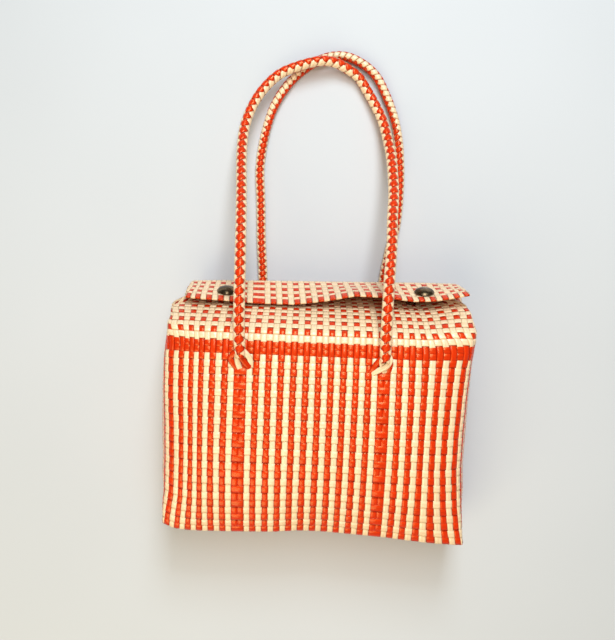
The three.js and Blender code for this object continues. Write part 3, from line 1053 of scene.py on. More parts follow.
    def _loop_edges(self) -> np.ndarray:
        """Edges between columns once round the bag.

        Returns:
            Their strip counts from the front's middle, from its left corner on.
        """
        sizes = self.sizes
        panel = np.diff(sizes.panel_edges())
        gusset = np.ones(sizes.gusset_strips)
        widths = np.concatenate([panel, gusset, panel, gusset])
        return np.concatenate([[0.0], np.cumsum(widths)]) - sizes.panel_half

    def rings(
        self, rows: np.ndarray, centres: np.ndarray, width: float, paired: bool = False
    ) -> RibbonBatch:
        """Rings round the bag in rows of one parity.

        Args:
            rows: Row numbers, all even or all odd.
            centres: Heights of the rings' middles.
            width: Height of each row.
            paired: Whether the rings lie edge to edge.

        Returns:
            The rings.
        """
        edges = self._loop_edges()
        parity = int(rows[0]) % 2
        columns = np.arange(len(edges) - 1)
        signs = np.where((columns + parity) % 2 == 0, 1.0, -1.0)
        where, cells = self._stations(edges, self.flank / self.sizes.pitch)
        path = StripPath(where.ravel(), self._outs(signs, signs[-1]).ravel(), cells.ravel())
        at_rim = rows[0] == len(self.sizes.row_edges()) - 2
        if at_rim:
            path.out = 0 * path.out
        tilt = 0.0 if at_rim or paired else -self.ring_tilt
        share = self.pair_share if paired else self.width_share
        across = self.section.ring()[0] * share * width
        turns = 2 * np.pi * path.cells / len(columns)
        phases = self.random.uniform(0, 2 * np.pi, (len(centres), 1))
        wander = self.wobble * self.sizes.row * np.sin(self.ring_waves * turns + phases) * (not paired)
        heights = centres[:, None, None] + wander[..., None] + across
        spots = self.form.wall(path.where[None, :, None], heights)
        return self._batch(spots, path, closed=True, tilt=tilt)

    def ring_batches(self, colour: StripColour) -> list[RibbonBatch]:
        """All rings of one colour.

        Args:
            colour: Colour of the rings.

        Returns:
            Batches of the striped rows, and of the band or the checked rows.
        """
        sizes = self.sizes
        edges = sizes.row_edges()
        middles = (edges[:-1] + edges[1:]) / 2
        rows = np.arange(len(middles))
        band = sizes.striped_rows
        if colour is StripColour.ORANGE:
            striped = rows[:band:2]
            width = (sizes.band - self.band_cover) / 2
            pair = edges[band] + width * np.array([0.5, 1.5])
            return [
                self.rings(striped, middles[striped], sizes.row),
                self.rings(np.array([band, band]), pair, width, paired=True),
            ]
        groups = [rows[1:band:2], rows[band + 1 : -1 : 2], rows[band + 2 : -1 : 2], rows[-1:]]
        return [self.rings(group, middles[group], sizes.row) for group in groups]

    def build(self) -> Pieces:
        """Makes the pieces of the weave.

        Returns:
            Each piece and its colour by name.
        """
        made = {}
        for colour in StripColour:
            parts = {
                f"panel_strips_{colour.value}": [self.panel_strips(colour)],
                f"side_strips_{colour.value}": [self.side_strips(colour)],
                f"rings_{colour.value}": self.ring_batches(colour),
            }
            for name, batches in parts.items():
                ribbons = RibbonMesh(name)
                for batch in batches:
                    ribbons.add(batch)
                made[name] = (ribbons.build(), colour)
        return made

    @staticmethod
    def dress(pieces: Pieces, strips: StripMaterials) -> None:
        """Gives the weave's pieces the finish of their colour, in place of the body's solid."""
        for piece, colour in pieces.values():
            dress_piece(piece, strips[colour], "woven_strips", "woven_body")


@dataclass(frozen=True)
class Tail:
    """End of a handle's strand that leaves the braid and goes into the weave.

    The route's columns are right of the foot, up the panel and out of it, in millimetres.
    """

    colour: StripColour
    route: tuple[tuple[float, float, float], ...]


@dataclass(frozen=True)
class HandleRoute:
    """Where a handle starts and ends, and the middle line between, in millimetres from the base.

    Strands wind at the radius and make a full turn every turn millimetres. Between the shares of its length in rolls it rolls
    over by roll radians, and rolls back.
    """

    panel: Panel
    foot_height: float
    radius: float
    turn: float
    roll: float
    rolls: tuple[float, float, float, float]
    points: tuple[tuple[float, float, float], ...]


CURVE_STEPS = 40
HANDLE_RADIUS = 4.6
FRONT_ROUTE = HandleRoute(
    panel=Panel.FRONT,
    foot_height=152.0,
    radius=4.25,
    turn=16.3,
    roll=-0.5,
    rolls=(0.31, 0.40, 0.60, 0.69),
    points=(
        (-64, 177, 105.5), (-65, 203, 104), (-66, 235, 98), (-68, 270, 84), (-71, 308, 63),
        (-74, 346, 43), (-73, 373, 31), (-66, 397, 23), (-55, 416, 18), (-42, 429, 16),
        (-23, 438, 15.5), (-1, 444, 14.5), (12, 444, 11), (25, 439, 8), (36, 432, 6), (45, 419, 6),
        (53, 405, 8), (60, 390, 12), (65, 371, 19), (69, 344, 33), (70, 309, 52), (68, 284, 67),
        (67, 258, 80), (65, 235, 91), (63, 208, 102), (62, 179, 105.5),
    ),
)
BACK_ROUTE = HandleRoute(
    panel=Panel.BACK,
    foot_height=146.0,
    radius=3.75,
    turn=12.2,
    roll=1.5,
    rolls=(0.26, 0.42, 0.58, 0.74),
    points=tuple(
        (x, y, HANDLE_RADIUS)
        for x, y in (
            (-55, 190), (-52, 222), (-55, 266), (-57, 306), (-59, 334), (-58, 354), (-54, 378),
            (-47, 401), (-34, 423), (-18, 439), (3, 451), (22, 453), (40, 446), (54, 434), (65, 414),
            (73, 394), (78, 373), (81, 342), (81, 311), (79, 285), (73, 258), (68, 227), (67, 190),
        )
    ),
)
TAILS: dict[Side, tuple[Tail, ...]] = {
    Side.LEFT: (
        Tail(StripColour.ORANGE, (
            (-1.5, 6, 5.5), (-5.5, 3.5, 4.5), (-8.8, -0.5, 2.6), (-6.5, -5, 1.6), (-3.5, -8.5, 0.6),
            (-2.2, -10.5, -0.6),
        )),
        Tail(StripColour.CREAM, (
            (-2, 5, 6), (-2.8, 1, 4.6), (-2.4, -4, 2.6), (-1, -8, 1.2), (0, -10.5, -0.5),
        )),
        Tail(StripColour.ORANGE, (
            (-1.5, 4.5, 6.4), (0.5, 0.5, 5.4), (3.5, -3.5, 3.4), (6.4, -6.8, 1.6), (8.6, -9.5, -0.4),
        )),
        Tail(StripColour.CREAM, (
            (2.5, 6, 5.6), (5.5, 3, 5), (8, -0.5, 3.2), (8.8, -4.5, 1.6), (8.6, -8, -0.4),
        )),
    ),
    Side.RIGHT: (
        Tail(StripColour.ORANGE, (
            (-2, 6, 5.2), (-4.5, 2.5, 4.2), (-7.8, -2, 2.6), (-10.2, -6.5, 1.2), (-11.5, -9.5, -0.5),
        )),
        Tail(StripColour.CREAM, (
            (3, 6.5, 5.4), (4.2, 2.5, 5.8), (1.5, -2.5, 4.6), (-4, -6, 2.6), (-9, -8.6, 1),
            (-11.5, -9.8, -0.5),
        )),
        Tail(StripColour.ORANGE, (
            (2, 5, 5), (4.6, 1, 3.8), (4.2, -4, 2.2), (3.2, -8, 0.6), (3, -10, -0.6),
        )),
        Tail(StripColour.CREAM, (
            (-2, 5, 5), (-2.6, 1, 4.2), (-1.5, -4, 2.6), (0.5, -7.5, 1), (0.8, -9.5, -0.6),
        )),
    ),
}


def smooth_line(knots: np.ndarray, spacing: float) -> np.ndarray:
    """Evenly spaced points on a smooth curve through knots.

    Each stretch is a cubic whose end slopes come from its neighbours, with knots timed by the square
    root of their distance.

    Args:
        knots: Points that the curve passes, shaped (count, 3).
        spacing: Distance between the points.

    Returns:
        Points shaped (any, 3).
    """
    padded = np.concatenate([2 * knots[:1] - knots[1:2], knots, 2 * knots[-1:] - knots[-2:-1]])
    before, start, end, after = padded[:-3], padded[1:-2], padded[2:-1], padded[3:]

    def pace(a: np.ndarray, b: np.ndarray) -> np.ndarray:
        """Time between two knots."""
        return np.sqrt(np.linalg.norm(b - a, axis=1, keepdims=True))

    d0, d1, d2 = pace(before, start), pace(start, end), pace(end, after)
    leave = d1 * ((start - before) / d0 - (end - before) / (d0 + d1) + (end - start) / d1)
    arrive = d1 * ((end - start) / d1 - (after - start) / (d1 + d2) + (after - end) / d2)
    t = np.linspace(0.0, 1.0, CURVE_STEPS, endpoint=False)[None, :, None]
    start, end, leave, arrive = (a[:, None] for a in (start, end, leave, arrive))
    bend = (2 * t**3 - 3 * t**2 + 1) * start + (3 * t**2 - 2 * t**3) * end
    bend = bend + (t**3 - 2 * t**2 + t) * leave + (t**3 - t**2) * arrive
    line = np.concatenate([bend.reshape(-1, 3), knots[-1:]])[None]
    lengths = row_lengths(line)
    count = max(int(lengths[0, -1] / spacing), 2)
    return along_rows(line, lengths, np.linspace(0.0, lengths[0, -1], count + 1)[None])[0]


@dataclass
class BraidedHandle:
    """Round braid of four flat strands: two orange ones wind one way and two cream ones the other.

    A strand winds round the middle line at a radius that rises where it passes over and falls where
    it passes under, twice in each turn.
    """

    form: BagForm
    route: HandleRoute
    strand_share: float = 0.95
    strand_lift: float = 0.46
    squareness: float = 2.0
    spacing: float = 0.75
    end_scale: float = 0.8
    end_length: float = 10.0
    foot_strips: float = 11.5
    tail_width: float = 5.0
    tail_spacing: float = 0.8
    # Even dive given to the tails, which paints a slight shade all along them.
    tail_shade_dive: float = 0.15
    tones: tuple[float, float] = (0.3, 0.7)
    foot_step: float = 0.2
    foot_rise: float = 1.0
    seed: int = 11

    def __post_init__(self) -> None:
        """Works out the handle's middle line and the frame along it."""
        form, route = self.form, self.route
        self.random = np.random.default_rng(self.seed)
        self.section = StripSection(thickness=0.7, flat_share=0.88, top_points=4)
        self.feet = {side: self._foot(side) for side in Side}
        sizes = form.sizes
        lift = sizes.wall / 2 + sizes.clearance + HANDLE_RADIUS
        ends = [foot[0] + foot[3] * lift for foot in self.feet.values()]
        middle = np.array(route.points, dtype=float) - np.array([0.0, BACK_LINE.y, 0.0])
        self.line = smooth_line(np.concatenate([ends[:1], middle, ends[1:]]), self.spacing)
        self.length = self.spacing * (len(self.line) - 1)
        forward = unit(np.gradient(self.line, axis=0))
        above = np.array([0.0, 0.0, 1.0])
        self.up = unit(above - forward * forward[:, 2:])
        self.beside = np.cross(forward, self.up)

    def _foot(self, side: Side) -> tuple[np.ndarray, np.ndarray, np.ndarray, np.ndarray]:
        """Point, right, up and outward directions of the panel at one foot.

        Args:
            side: Side of the bag.

        Returns:
            Four vectors.
        """
        place = side.value * self.foot_strips
        if self.route.panel is Panel.BACK:
            place = float(self.form.behind(np.array(place)))
        places = place + self.foot_step * np.array([0, -1, 1, 0, 0])
        heights = self.route.foot_height + self.foot_rise * np.array([0, 0, 0, -1, 1])
        points, normals = self.form.wall(places, heights)
        return points[0], unit(points[2] - points[1]), unit(points[4] - points[3]), normals[0]

    def _strand(self, colour: StripColour, phase: float) -> RibbonBatch:
        """One strand of the braid.

        On the braid unrolled flat, the strand is a straight band at the winding's slope, and each point
        across it is rolled back onto the braid.

        Args:
            colour: Colour of the strand, which sets the way that it winds.
            phase: Turn of the strand at the start, in radians.

        Returns:
            The strand as one ribbon.
        """
        sense = 1.0 if colour is StripColour.ORANGE else -1.0
        s = np.linspace(0.0, self.length, len(self.line))
        around = 2 * np.pi * s / self.route.turn
        slope = math.atan2(self.route.turn, 2 * math.pi * self.route.radius)
        across, out = self.section.ring()
        offset = across * self.strand_share * self.route.turn / 4 * math.cos(slope)
        square = np.tanh(self.squareness * np.cos(2 * around)) / math.tanh(self.squareness)
        from_end = np.minimum(s, self.length - s)
        scale = self.end_scale + (1 - self.end_scale) * smoothstep(from_end, 0.0, self.end_length)
        radius = (self.route.radius + sense * self.strand_lift * square) * scale
        start, full, ease, end = self.route.rolls
        share = s / self.length
        roll = self.route.roll * (smoothstep(share, start, full) - smoothstep(share, ease, end))
        turn = phase + roll + sense * around
        angle = turn[:, None] - math.sin(slope) * offset / self.route.radius
        along = np.clip(s[:, None] + sense * math.cos(slope) * offset, 0.0, self.length)
        knots = np.concatenate([self.line, self.up, self.beside], axis=1)
        read = np.stack([np.interp(along, s, column) for column in knots.T], axis=-1)
        outward = read[..., 3:6] * np.cos(angle)[..., None] + read[..., 6:] * np.sin(angle)[..., None]
        reach = radius[:, None] + out * self.section.thickness / 2
        return RibbonBatch(
            points=(read[..., :3] + outward * reach[..., None])[None],
            across=across,
            along=(around / np.pi)[None],
            # Dive of the strand, which paints shade on it where it passes under the other strands.
            dive=((1 - sense * square) / 2)[None],
            tone=self.random.uniform(*self.tones, 1),
        )

    def _tail(self, side: Side, tail: Tail) -> RibbonBatch:
        """A strand's end from the braid to the weave, flat on the panel.

        Args:
            side: Side of the bag that the foot is on.
            tail: Route of the end.

        Returns:
            The end as one ribbon.
        """
        point, right, up, out = self.feet[side]
        knots = point + np.array(tail.route) @ np.stack([right, up, out])
        line = smooth_line(knots, self.tail_spacing)
        forward = unit(np.gradient(line, axis=0))
        level = unit(np.cross(out, forward))
        normal = np.cross(forward, level)
        across, rise = StripSection().ring()
        offset = level[:, None] * across[:, None] * self.tail_width / 2
        points = line[:, None] + offset + normal[:, None] * rise[:, None] * StripSection().thickness / 2
        cells = np.linspace(0.0, 1.0, len(line))
        return RibbonBatch(
            points=points[None],
            across=across,
            along=cells[None],
            # A slight painted shade all along the tail.
            dive=(self.tail_shade_dive + 0.0 * cells)[None],
            tone=self.random.uniform(*self.tones, 1),
        )

    def build(self) -> Pieces:
        """Makes the handle's orange and cream strands with their ends.

        Returns:
            Each piece and its colour by name.
        """
        made = {}
        for colour in StripColour:
            name = f"handle_{self.route.panel.value}_{colour.value}"
            ribbons = RibbonMesh(name)
            for phase in (0.0, math.pi):
                ribbons.add(self._strand(colour, phase))
            for side in Side:
                for tail in TAILS[side]:
                    if tail.colour is colour:
                        ribbons.add(self._tail(side, tail))
            made[name] = (ribbons.build(), colour)
        return made

    def dress(self, pieces: Pieces, strips: StripMaterials) -> None:
        """Gives the strands the finish of their colour, in place of the handle's solid.

        Args:
            pieces: The handle's pieces.
            strips: Materials of the strips.
        """
        for piece, colour in pieces.values():
            dress_piece(piece, strips[colour], "braid", f"handle_{self.route.panel.value}")
        LOG.info("handle_%s: %.0f mm long", self.route.panel.value, self.length)


@dataclass(frozen=True)
class SnapCap:
    """Dome cap of a snap with its shank and socket, turned round the direction out of the flap."""

    side: Side
    across: float = 92.0
    below_rim: float = 16.0
    radius: float = 9.3
    rise: float = 3.4
    edge: float = 0.9
    seat: float = 0.8
    socket_radius: float = 5.0
    socket_depth: float = 1.6
    shank_radius: float = 1.8
    chamfer: float = 0.3
    roll_angles: tuple[float, float] = (-90.0, 75.0)
    roll_points: int = 8
    dome_angles: tuple[float, float] = (80.0, 4.0)
    dome_points: int = 16
    sides: int = 64

    def profile(self, wall: float) -> np.ndarray:
        """Profile from the socket's middle to the dome's top.

        The dome is a quarter ellipse that ends in a rolled edge, a half circle.

        Args:
            wall: Thickness of the wall that the cap is riveted through.

        Returns:
            Distance from the axis and height, shaped (count, 2).
        """
        low = wall / 2 + self.seat
        bottom = -low - self.socket_depth
        roll = self.edge / 2
        bend = np.radians(np.linspace(*self.roll_angles, self.roll_points))
        rim = self.radius - roll + roll * np.cos(bend)
        rolled = np.stack([rim, low + roll + roll * np.sin(bend)], axis=1)
        turn = np.radians(np.linspace(*self.dome_angles, self.dome_points))
        dome_radius = self.radius - roll
        dome = np.stack([dome_radius * np.sin(turn), low + self.edge + self.rise * np.cos(turn)], axis=1)
        stem = np.array([
            [0.0, bottom],
            [self.socket_radius - self.chamfer, bottom],
            [self.socket_radius, bottom + self.chamfer],
            [self.socket_radius, -low],
            [self.shank_radius, -low],
            [self.shank_radius, low],
        ])
        top = np.array([[0.0, low + self.edge + self.rise]])
        return np.concatenate([stem, rolled, dome, top])

    def build(self, form: BagForm) -> bpy.types.Object:
        """Makes the cap on the flap.

        Args:
            form: Middle surface of the bag.

        Returns:
            The cap.
        """
        sizes = form.sizes
        place = self.side.value * (sizes.half_loop - self.across / sizes.pitch)
        point, out = form.wall(np.array(place), np.array(sizes.height - self.below_rim))
        first = unit(np.cross(np.array([0.0, 1.0, 0.0]), out))
        second = np.cross(out, first)
        profile = self.profile(sizes.wall)
        turn = np.linspace(0.0, 2 * np.pi, self.sides, endpoint=False)
        spoke = np.cos(turn)[:, None] * first + np.sin(turn)[:, None] * second
        rings = point + profile[1:-1, :1, None] * spoke + profile[1:-1, 1:, None] * out
        poles = point + profile[[0, -1], 1:] * out
        count = len(rings)
        index = np.arange(count * self.sides).reshape(count, self.sides)
        beside = np.roll(index, -1, axis=1)
        quads = np.stack([index[:-1], beside[:-1], beside[1:], index[1:]], axis=-1).reshape(-1, 4)
        low, high = count * self.sides, count * self.sides + 1
        bottom = np.stack([beside[0], index[0], np.full(self.sides, low)], axis=-1)
        top = np.stack([index[-1], beside[-1], np.full(self.sides, high)], axis=-1)
        points = np.concatenate([rings.reshape(-1, 3), poles])
        mesh = mesh_of(f"snap_dome_{self.side.name.lower()}", points, [quads, bottom, top])
        return linked(mesh)

    def dress(self, cap: bpy.types.Object, bronze: bpy.types.Material) -> None:
        """Gives the cap its plating, in place of its solid, and the hidden stud the same.

        Args:
            cap: The cap.
            bronze: Its material.
        """
        side = self.side.name.lower()
        dress_piece(cap, bronze, "snap_metal", f"snap_cap_{side}")
        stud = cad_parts[f"snap_stud_{side}"]
        stud.data.materials.clear()
        stud.data.materials.append(bronze)


NodeValue = float | tuple[float, ...] | bpy.types.NodeSocket
Colour = tuple[float, float, float]


@dataclass
class NodeTree:
    """Short way to add and link the nodes of a material or a group."""

    tree: bpy.types.NodeTree

    def feed(self, node: bpy.types.Node, inputs: dict[str | int, NodeValue]) -> None:
        """Sets a node's inputs, each to a value or linked to an output.

        Args:
            node: The node.
            inputs: Values or output sockets by the name or number of the input.
        """
        for key, value in inputs.items():
            if isinstance(value, bpy.types.NodeSocket):
                self.tree.links.new(value, node.inputs[key])
            else:
                node.inputs[key].default_value = value

    def add(
        self, kind: str, inputs: dict[str | int, NodeValue] | None = None, **settings: object
    ) -> bpy.types.Node:
        """Adds a node.

        Args:
            kind: Type name of the node.
            inputs: Values or output sockets by the name or number of the input.
            **settings: Properties of the node.

        Returns:
            The node.
        """
        node = self.tree.nodes.new(kind)
        for name, value in settings.items():
            setattr(node, name, value)
        self.feed(node, inputs or {})
        return node

    def group(self, group: bpy.types.NodeTree, inputs: dict[str | int, NodeValue]) -> bpy.types.Node:
        """Adds a shared effect with values of its own."""
        return self.add("ShaderNodeGroup", inputs, node_tree=group)

    def math(self, operation: str, *values: NodeValue) -> bpy.types.NodeSocket:
        """Result of a math node on values or sockets."""
        return self.add("ShaderNodeMath", dict(enumerate(values)), operation=operation).outputs[0]

    def mix(self, factor: NodeValue, low: NodeValue, high: NodeValue) -> bpy.types.NodeSocket:
        """Mix of two colours by a factor."""
        return self.add("ShaderNodeMix", {0: factor, 6: low, 7: high}, data_type="RGBA").outputs[2]

    def share(self, value: NodeValue, low: float, high: float) -> bpy.types.NodeSocket:
        """Share of the way from a low value to a high one, held between 0 and 1."""
        return self.add("ShaderNodeMapRange", {0: value, 1: low, 2: high}, clamp=True).outputs[0]

    def noise(self, scale: NodeValue, detail: float) -> bpy.types.NodeSocket:
        """Noise in the object's own coordinates.

        Args:
            scale: Scale of the noise.
            detail: How many finer layers it has.

        Returns:
            Its value, from 0 to 1.
        """
        place = self.add("ShaderNodeTexCoord").outputs["Object"]
        inputs = {"Vector": place, "Scale": scale, "Detail": detail}
        return self.add("ShaderNodeTexNoise", inputs).outputs["Fac"]

    def attribute(self, name: str) -> bpy.types.NodeSocket:
        """Value of a mesh attribute."""
        return self.add("ShaderNodeAttribute", attribute_name=name).outputs["Fac"]

    def across(self) -> bpy.types.NodeSocket:
        """Place across a strip, from 0 to 1."""
        uv = self.add("ShaderNodeUVMap", uv_map="strip").outputs["UV"]
        return self.add("ShaderNodeSeparateXYZ", {0: uv}).outputs[0]

    def grooves(self, across: bpy.types.NodeSocket, count: NodeValue) -> bpy.types.NodeSocket:
        """Cosine wave across a strip, with a number of turns over its width."""
        turns = self.math("MULTIPLY", across, count)
        return self.math("COSINE", self.math("MULTIPLY", turns, 2 * math.pi))


@dataclass
class ShaderGroups:
    """Effects that several finishes share, each a node group built once.

    The shares say how much each effect adds to a strip's lightness or to its relief.
    """

    patch_scale: float = 38.0
    patch_detail: float = 2.0
    patch_share: float = 0.16
    tone_share: float = 0.10
    # Painted shade in the grooves between ribs and painted light on their tops.
    groove_shade_share: float = 0.07
    least_light: float = 0.87
    # Where the painted shade along a strip's edges starts and where it is full.
    edge_shade_from: float = 0.40
    edge_shade_to: float = 0.50
    # Where the painted shade of a strip that dives under starts and where it is full.
    dive_shade_from: float = 0.06
    dive_shade_to: float = 0.50
    fine_scale: float = 620.0
    fine_detail: float = 2.0
    fine_share: float = 0.45
    rib_share: float = -0.16
    smudge_detail: float = 3.0

    def __post_init__(self) -> None:
        """Builds the groups."""
        self.shade = self._crossing_shade()
        self.ribs = self._strip_ribs()
        self.smudge = self._smudge()

    @staticmethod
    def _group(
        name: str, inputs: dict[str, str], outputs: dict[str, str]
    ) -> tuple[NodeTree, bpy.types.NodeOutputs, bpy.types.Node]:
        """An empty group with named sockets.

        Args:
            name: Name of the group.
            inputs: Socket types by input name.
            outputs: Socket types by output name.

        Returns:
            The group's wrapped tree, the values given to it and its output node.
        """
        group = bpy.data.node_groups.new(name, "ShaderNodeTree")
        for direction, sockets in (("INPUT", inputs), ("OUTPUT", outputs)):
            for socket, kind in sockets.items():
                group.interface.new_socket(socket, in_out=direction, socket_type=kind)
        tree = NodeTree(group)
        return tree, tree.add("NodeGroupInput").outputs, tree.add("NodeGroupOutput")

    def _crossing_shade(self) -> bpy.types.NodeTree:
        """Colour of a strip: a little lighter or darker by strip and patch, with painted shade where it
        dives under and along its edges, and painted shade and light across its grooves.

        Returns:
            The group.
        """
        tree, given, result = self._group(
            "crossing_shade",
            {
                "Colour": "NodeSocketColor",
                "Deep": "NodeSocketColor",
                "Edge": "NodeSocketFloat",
                "Ribs": "NodeSocketFloat",
            },
            {"Colour": "NodeSocketColor"},
        )
        across = tree.across()
        # Painted shade along the strip's edges, and painted shade where it dives under the crossing strip.
        edge = tree.math("ABSOLUTE", tree.math("SUBTRACT", across, 0.5))
        edge = tree.math("MULTIPLY", tree.share(edge, self.edge_shade_from, self.edge_shade_to), given["Edge"])
        dive = tree.share(tree.attribute("dive"), self.dive_shade_from, self.dive_shade_to)
        # The painted shade mask: the larger of the two.
        deep = tree.math("MAXIMUM", dive, edge)
        tone = tree.math("MULTIPLY", tree.attribute("tone"), self.tone_share)
        patch = tree.math("MULTIPLY", tree.noise(self.patch_scale, self.patch_detail), self.patch_share)
        # Painted shade in the grooves and painted light on the ribs.
        groove = tree.math("MULTIPLY", tree.grooves(across, given["Ribs"]), self.groove_shade_share)
        light = tree.math("SUBTRACT", tree.math("ADD", tone, patch), groove)
        light = tree.math("ADD", light, self.least_light)
        inputs = {0: given["Colour"], "Scale": light}
        lit = tree.add("ShaderNodeVectorMath", inputs, operation="SCALE").outputs[0]
        # Mixes towards the painted shade colour by the painted shade mask.
        tree.feed(result, {"Colour": tree.mix(deep, lit, given["Deep"])})
        return tree.tree

    def _strip_ribs(self) -> bpy.types.NodeTree:
        """Height of a drawn plastic strip: a low crown across it, and fine ribs along it.

        Returns:
            The group.
        """
        tree, given, result = self._group(
            "strip_ribs", {"Ribs": "NodeSocketFloat"}, {"Height": "NodeSocketFloat"}
        )
        across = tree.across()
        side = tree.math("SUBTRACT", tree.math("MULTIPLY", across, 2.0), 1.0)
        crown = tree.math("SUBTRACT", 1.0, tree.math("MULTIPLY", side, side))
        wave = tree.math("MULTIPLY", tree.grooves(across, given["Ribs"]), self.rib_share)
        fine = tree.math("MULTIPLY", tree.noise(self.fine_scale, self.fine_detail), self.fine_share)
        tree.feed(result, {"Height": tree.math("ADD", crown, tree.math("ADD", wave, fine))})
        return tree.tree

    def _smudge(self) -> bpy.types.NodeTree:
        """Roughness that varies a little in soft patches.

        Returns:
            The group.
        """
        tree, given, result = self._group(
            "smudge",
            {"Low": "NodeSocketFloat", "High": "NodeSocketFloat", "Scale": "NodeSocketFloat"},
            {"Roughness": "NodeSocketFloat"},
        )
        gap = tree.math("SUBTRACT", given["High"], given["Low"])
        above = tree.math("MULTIPLY", tree.noise(given["Scale"], self.smudge_detail), gap)
        tree.feed(result, {"Roughness": tree.math("ADD", above, given["Low"])})
        return tree.tree


def fresh_material(name: str) -> tuple[bpy.types.Material, NodeTree, bpy.types.Node]:
    """A material whose tree holds a shader and its output alone.

    Args:
        name: Name of the material.

    Returns:
        The material, its wrapped tree and its shader node.
    """
    material = bpy.data.materials.new(name)
    material.use_nodes = True
    material.node_tree.nodes.clear()
    tree = NodeTree(material.node_tree)
    shader = tree.add("ShaderNodeBsdfPrincipled")
    tree.add("ShaderNodeOutputMaterial", {"Surface": shader.outputs[0]})
    return material, tree, shader


@dataclass(frozen=True)
class StripFinish:
    """Glossy drawn plastic strip, with a painted shade colour for where it dives under and along its
    edges.
    """

    name: str
    colour: Colour
    # Painted shade colour, mixed in where the strip dives under and along its edges.
    deep: Colour
    gloss: Colour
    # Weight of the painted shade along the strip's edges.
    edge: float = 0.2
    ribs: float = 2.0
    crown_height: float = 0.00022
    rough_low: float = 0.22
    rough_high: float = 0.38
    smudge_scale: float = 60.0
    specular: float = 0.5
    coat: float = 0.17
    coat_rough: float = 0.14

    def material(self, groups: ShaderGroups) -> bpy.types.Material:
        """Makes the material.

        Args:
            groups: Shared effects.

        Returns:
            The material.
        """
        material, tree, shader = fresh_material(self.name)
        shade = tree.group(
            groups.shade,
            {
                "Colour": (*self.colour, 1.0),
                "Deep": (*self.deep, 1.0),
                "Edge": self.edge,
                "Ribs": self.ribs,
            },
        )
        ribs = tree.group(groups.ribs, {"Ribs": self.ribs})
        smudge = tree.group(
            groups.smudge, {"Low": self.rough_low, "High": self.rough_high, "Scale": self.smudge_scale}
        )
        bump = tree.add(
            "ShaderNodeBump",
            {"Height": ribs.outputs["Height"], "Strength": 1.0, "Distance": self.crown_height},
        )
        tree.feed(
            shader,
            {
                "Base Color": shade.outputs["Colour"],
                "Roughness": smudge.outputs["Roughness"],
                "Normal": bump.outputs["Normal"],
                "Specular IOR Level": self.specular,
                "Specular Tint": (*self.gloss, 1.0),
                "Coat Weight": self.coat,
                "Coat Roughness": self.coat_rough,
            },
        )
        return material


@dataclass(frozen=True)
class BronzeFinish:
    """Dark bronze plating, rubbed a little lighter in patches."""

    name: str
    dark: Colour
    rubbed: Colour
    patch_scale: float = 170.0
    patch_detail: float = 4.0
    patch_from: float = 0.45
    patch_to: float = 0.7
    rough_low: float = 0.18
    rough_high: float = 0.34
    smudge_scale: float = 240.0

    def material(self, groups: ShaderGroups) -> bpy.types.Material:
        """Makes the material.

        Args:
            groups: Shared effects.

        Returns:
            The material.
        """
        material, tree, shader = fresh_material(self.name)
        patch = tree.share(tree.noise(self.patch_scale, self.patch_detail), self.patch_from, self.patch_to)
        smudge = tree.group(
            groups.smudge, {"Low": self.rough_low, "High": self.rough_high, "Scale": self.smudge_scale}
        )
        tree.feed(
            shader,
            {
                "Base Color": tree.mix(patch, (*self.dark, 1.0), (*self.rubbed, 1.0)),
                "Roughness": smudge.outputs["Roughness"],
                "Metallic": 1.0,
            },
        )
        return material


STRIP_FINISHES: dict[StripColour, StripFinish] = {
    StripColour.ORANGE: StripFinish(
        "orange_strip",
        colour=(0.655, 0.024, 0.0002),
        # deep is the painted shade colour for dives and edges.
        deep=(0.38, 0.006, 0.0001),
        gloss=(1.0, 0.85, 0.22),
    ),
    StripColour.CREAM: StripFinish(
        "cream_strip",
        colour=(0.89, 0.635, 0.372),
        # deep is the painted shade colour for dives and edges.
        deep=(0.80, 0.565, 0.31),
        gloss=(1.0, 0.97, 0.94),
    ),
}
BRONZE = BronzeFinish("bronze_plating", dark=(0.085, 0.056, 0.028), rubbed=(0.29, 0.20, 0.11))


@dataclass(frozen=True)
class Lamp:
    """Square area light that faces a point, with places in metres and its power in watts."""

    name: str
    place: tuple[float, float, float]
    aim: tuple[float, float, float]
    size: float
    power: float
    colour: Colour

    def build(self) -> None:
        """Makes the light."""
        data = bpy.data.lights.new(self.name, "AREA")
        data.energy = self.power
        data.size = self.size
        data.color = self.colour
        made = bpy.data.objects.new(self.name, data)
        made.location = self.place
        direction = Vector(self.aim) - Vector(self.place)
        made.rotation_euler = direction.to_track_quat("-Z", "Y").to_euler()
        bpy.context.scene.collection.objects.link(made)


LAMPS: tuple[Lamp, ...] = (
    Lamp("sky_light", (0.10, 0.85, 1.4), (0.0, 0.10, 0.05), 0.6, 8.5, (0.86, 0.92, 1.0)),
    Lamp("mouth_light", (0.10, 1.15, 1.05), (0.0, 0.10, 0.05), 0.5, 12.5, (0.73, 0.87, 1.0)),
    Lamp("window_light", (0.08, 0.26, 1.2), (0.0, 0.10, 0.05), 0.30, 3.6, (1.0, 0.95, 0.97)),
    Lamp("fill_light", (-0.5, -1.0, 1.1), (0.0, 0.0, 0.05), 1.2, 16.5, (1.0, 0.91, 0.64)),
)


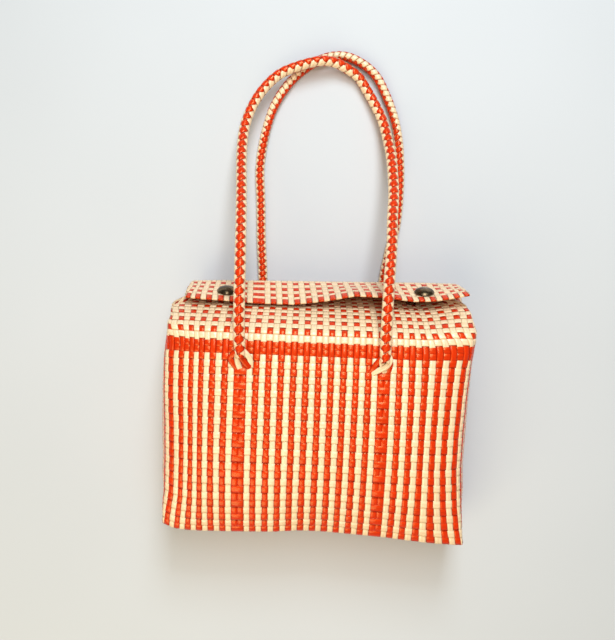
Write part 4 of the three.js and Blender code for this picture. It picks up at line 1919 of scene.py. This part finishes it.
@dataclass(frozen=True)
class Studio:
    """Pale floor, soft light from above the mouth of the bag, and a camera that looks straight down."""

    floor_size: float = 8.0
    floor_level: float = -0.0004
    floor_dark: Colour = (0.54, 0.54, 0.53)
    floor_light: Colour = (0.60, 0.60, 0.59)
    floor_rough: float = 0.75
    grain_scale: float = 3.0
    grain_detail: float = 2.0
    sky_colour: Colour = (1.0, 0.98, 0.95)
    sky_strength: float = 0.26
    focal_pixels: float = 688.0
    image_height: float = 640.0
    sensor: float = 36.0
    camera_place: tuple[float, float, float] = (-0.0058, 0.1263, 0.694)
    camera_roll: float = 0.038

    def build(self) -> None:
        """Makes the floor, the lights, the world and the camera."""
        self._floor()
        for lamp in LAMPS:
            lamp.build()
        self._world()
        self._camera()

    def _floor(self) -> None:
        """Makes the floor."""
        half = self.floor_size / 2 / MM
        corners = np.array([[-1, -1, 0], [1, -1, 0], [1, 1, 0], [-1, 1, 0]]) * half
        corners = corners + np.array([0.0, 0.0, self.floor_level / MM])
        made = linked(mesh_of("floor", corners, [np.array([[0, 1, 2, 3]])]))
        material, tree, shader = fresh_material("pale_floor")
        grain = tree.noise(self.grain_scale, self.grain_detail)
        colour = tree.mix(grain, (*self.floor_dark, 1.0), (*self.floor_light, 1.0))
        tree.feed(shader, {"Base Color": colour, "Roughness": self.floor_rough})
        made.data.materials.append(material)

    def _world(self) -> None:
        """Makes an even light from all round."""
        world = bpy.data.worlds.new("studio")
        world.use_nodes = True
        background = world.node_tree.nodes["Background"]
        background.inputs["Color"].default_value = (*self.sky_colour, 1.0)
        background.inputs["Strength"].default_value = self.sky_strength
        bpy.context.scene.world = world

    def _camera(self) -> None:
        """Makes the camera of the photo."""
        scene = bpy.context.scene
        scene.view_settings.view_transform = "Standard"
        data = bpy.data.cameras.new("camera")
        data.sensor_width = self.sensor
        data.lens = self.focal_pixels / self.image_height * self.sensor
        camera = bpy.data.objects.new("camera", data)
        camera.location = self.camera_place
        camera.rotation_euler = (0.0, 0.0, self.camera_roll)
        scene.collection.objects.link(camera)
        scene.camera = camera


def main() -> None:
    """Builds the studio and the bag's pieces in order."""
    logging.basicConfig(level=logging.INFO, format="%(name)s: %(message)s")
    Studio().build()
    groups = ShaderGroups()
    strips = {colour: finish.material(groups) for colour, finish in STRIP_FINISHES.items()}
    bronze = BRONZE.material(groups)
    form = BagForm(SIZES)
    weave = StripWeave(form)
    weave.dress(weave.build(), strips)
    for route in (FRONT_ROUTE, BACK_ROUTE):
        handle = BraidedHandle(form, route)
        handle.dress(handle.build(), strips)
    for side in Side:
        snap = SnapCap(side)
        snap.dress(snap.build(form), bronze)


if __name__ == "__main__":
    main()
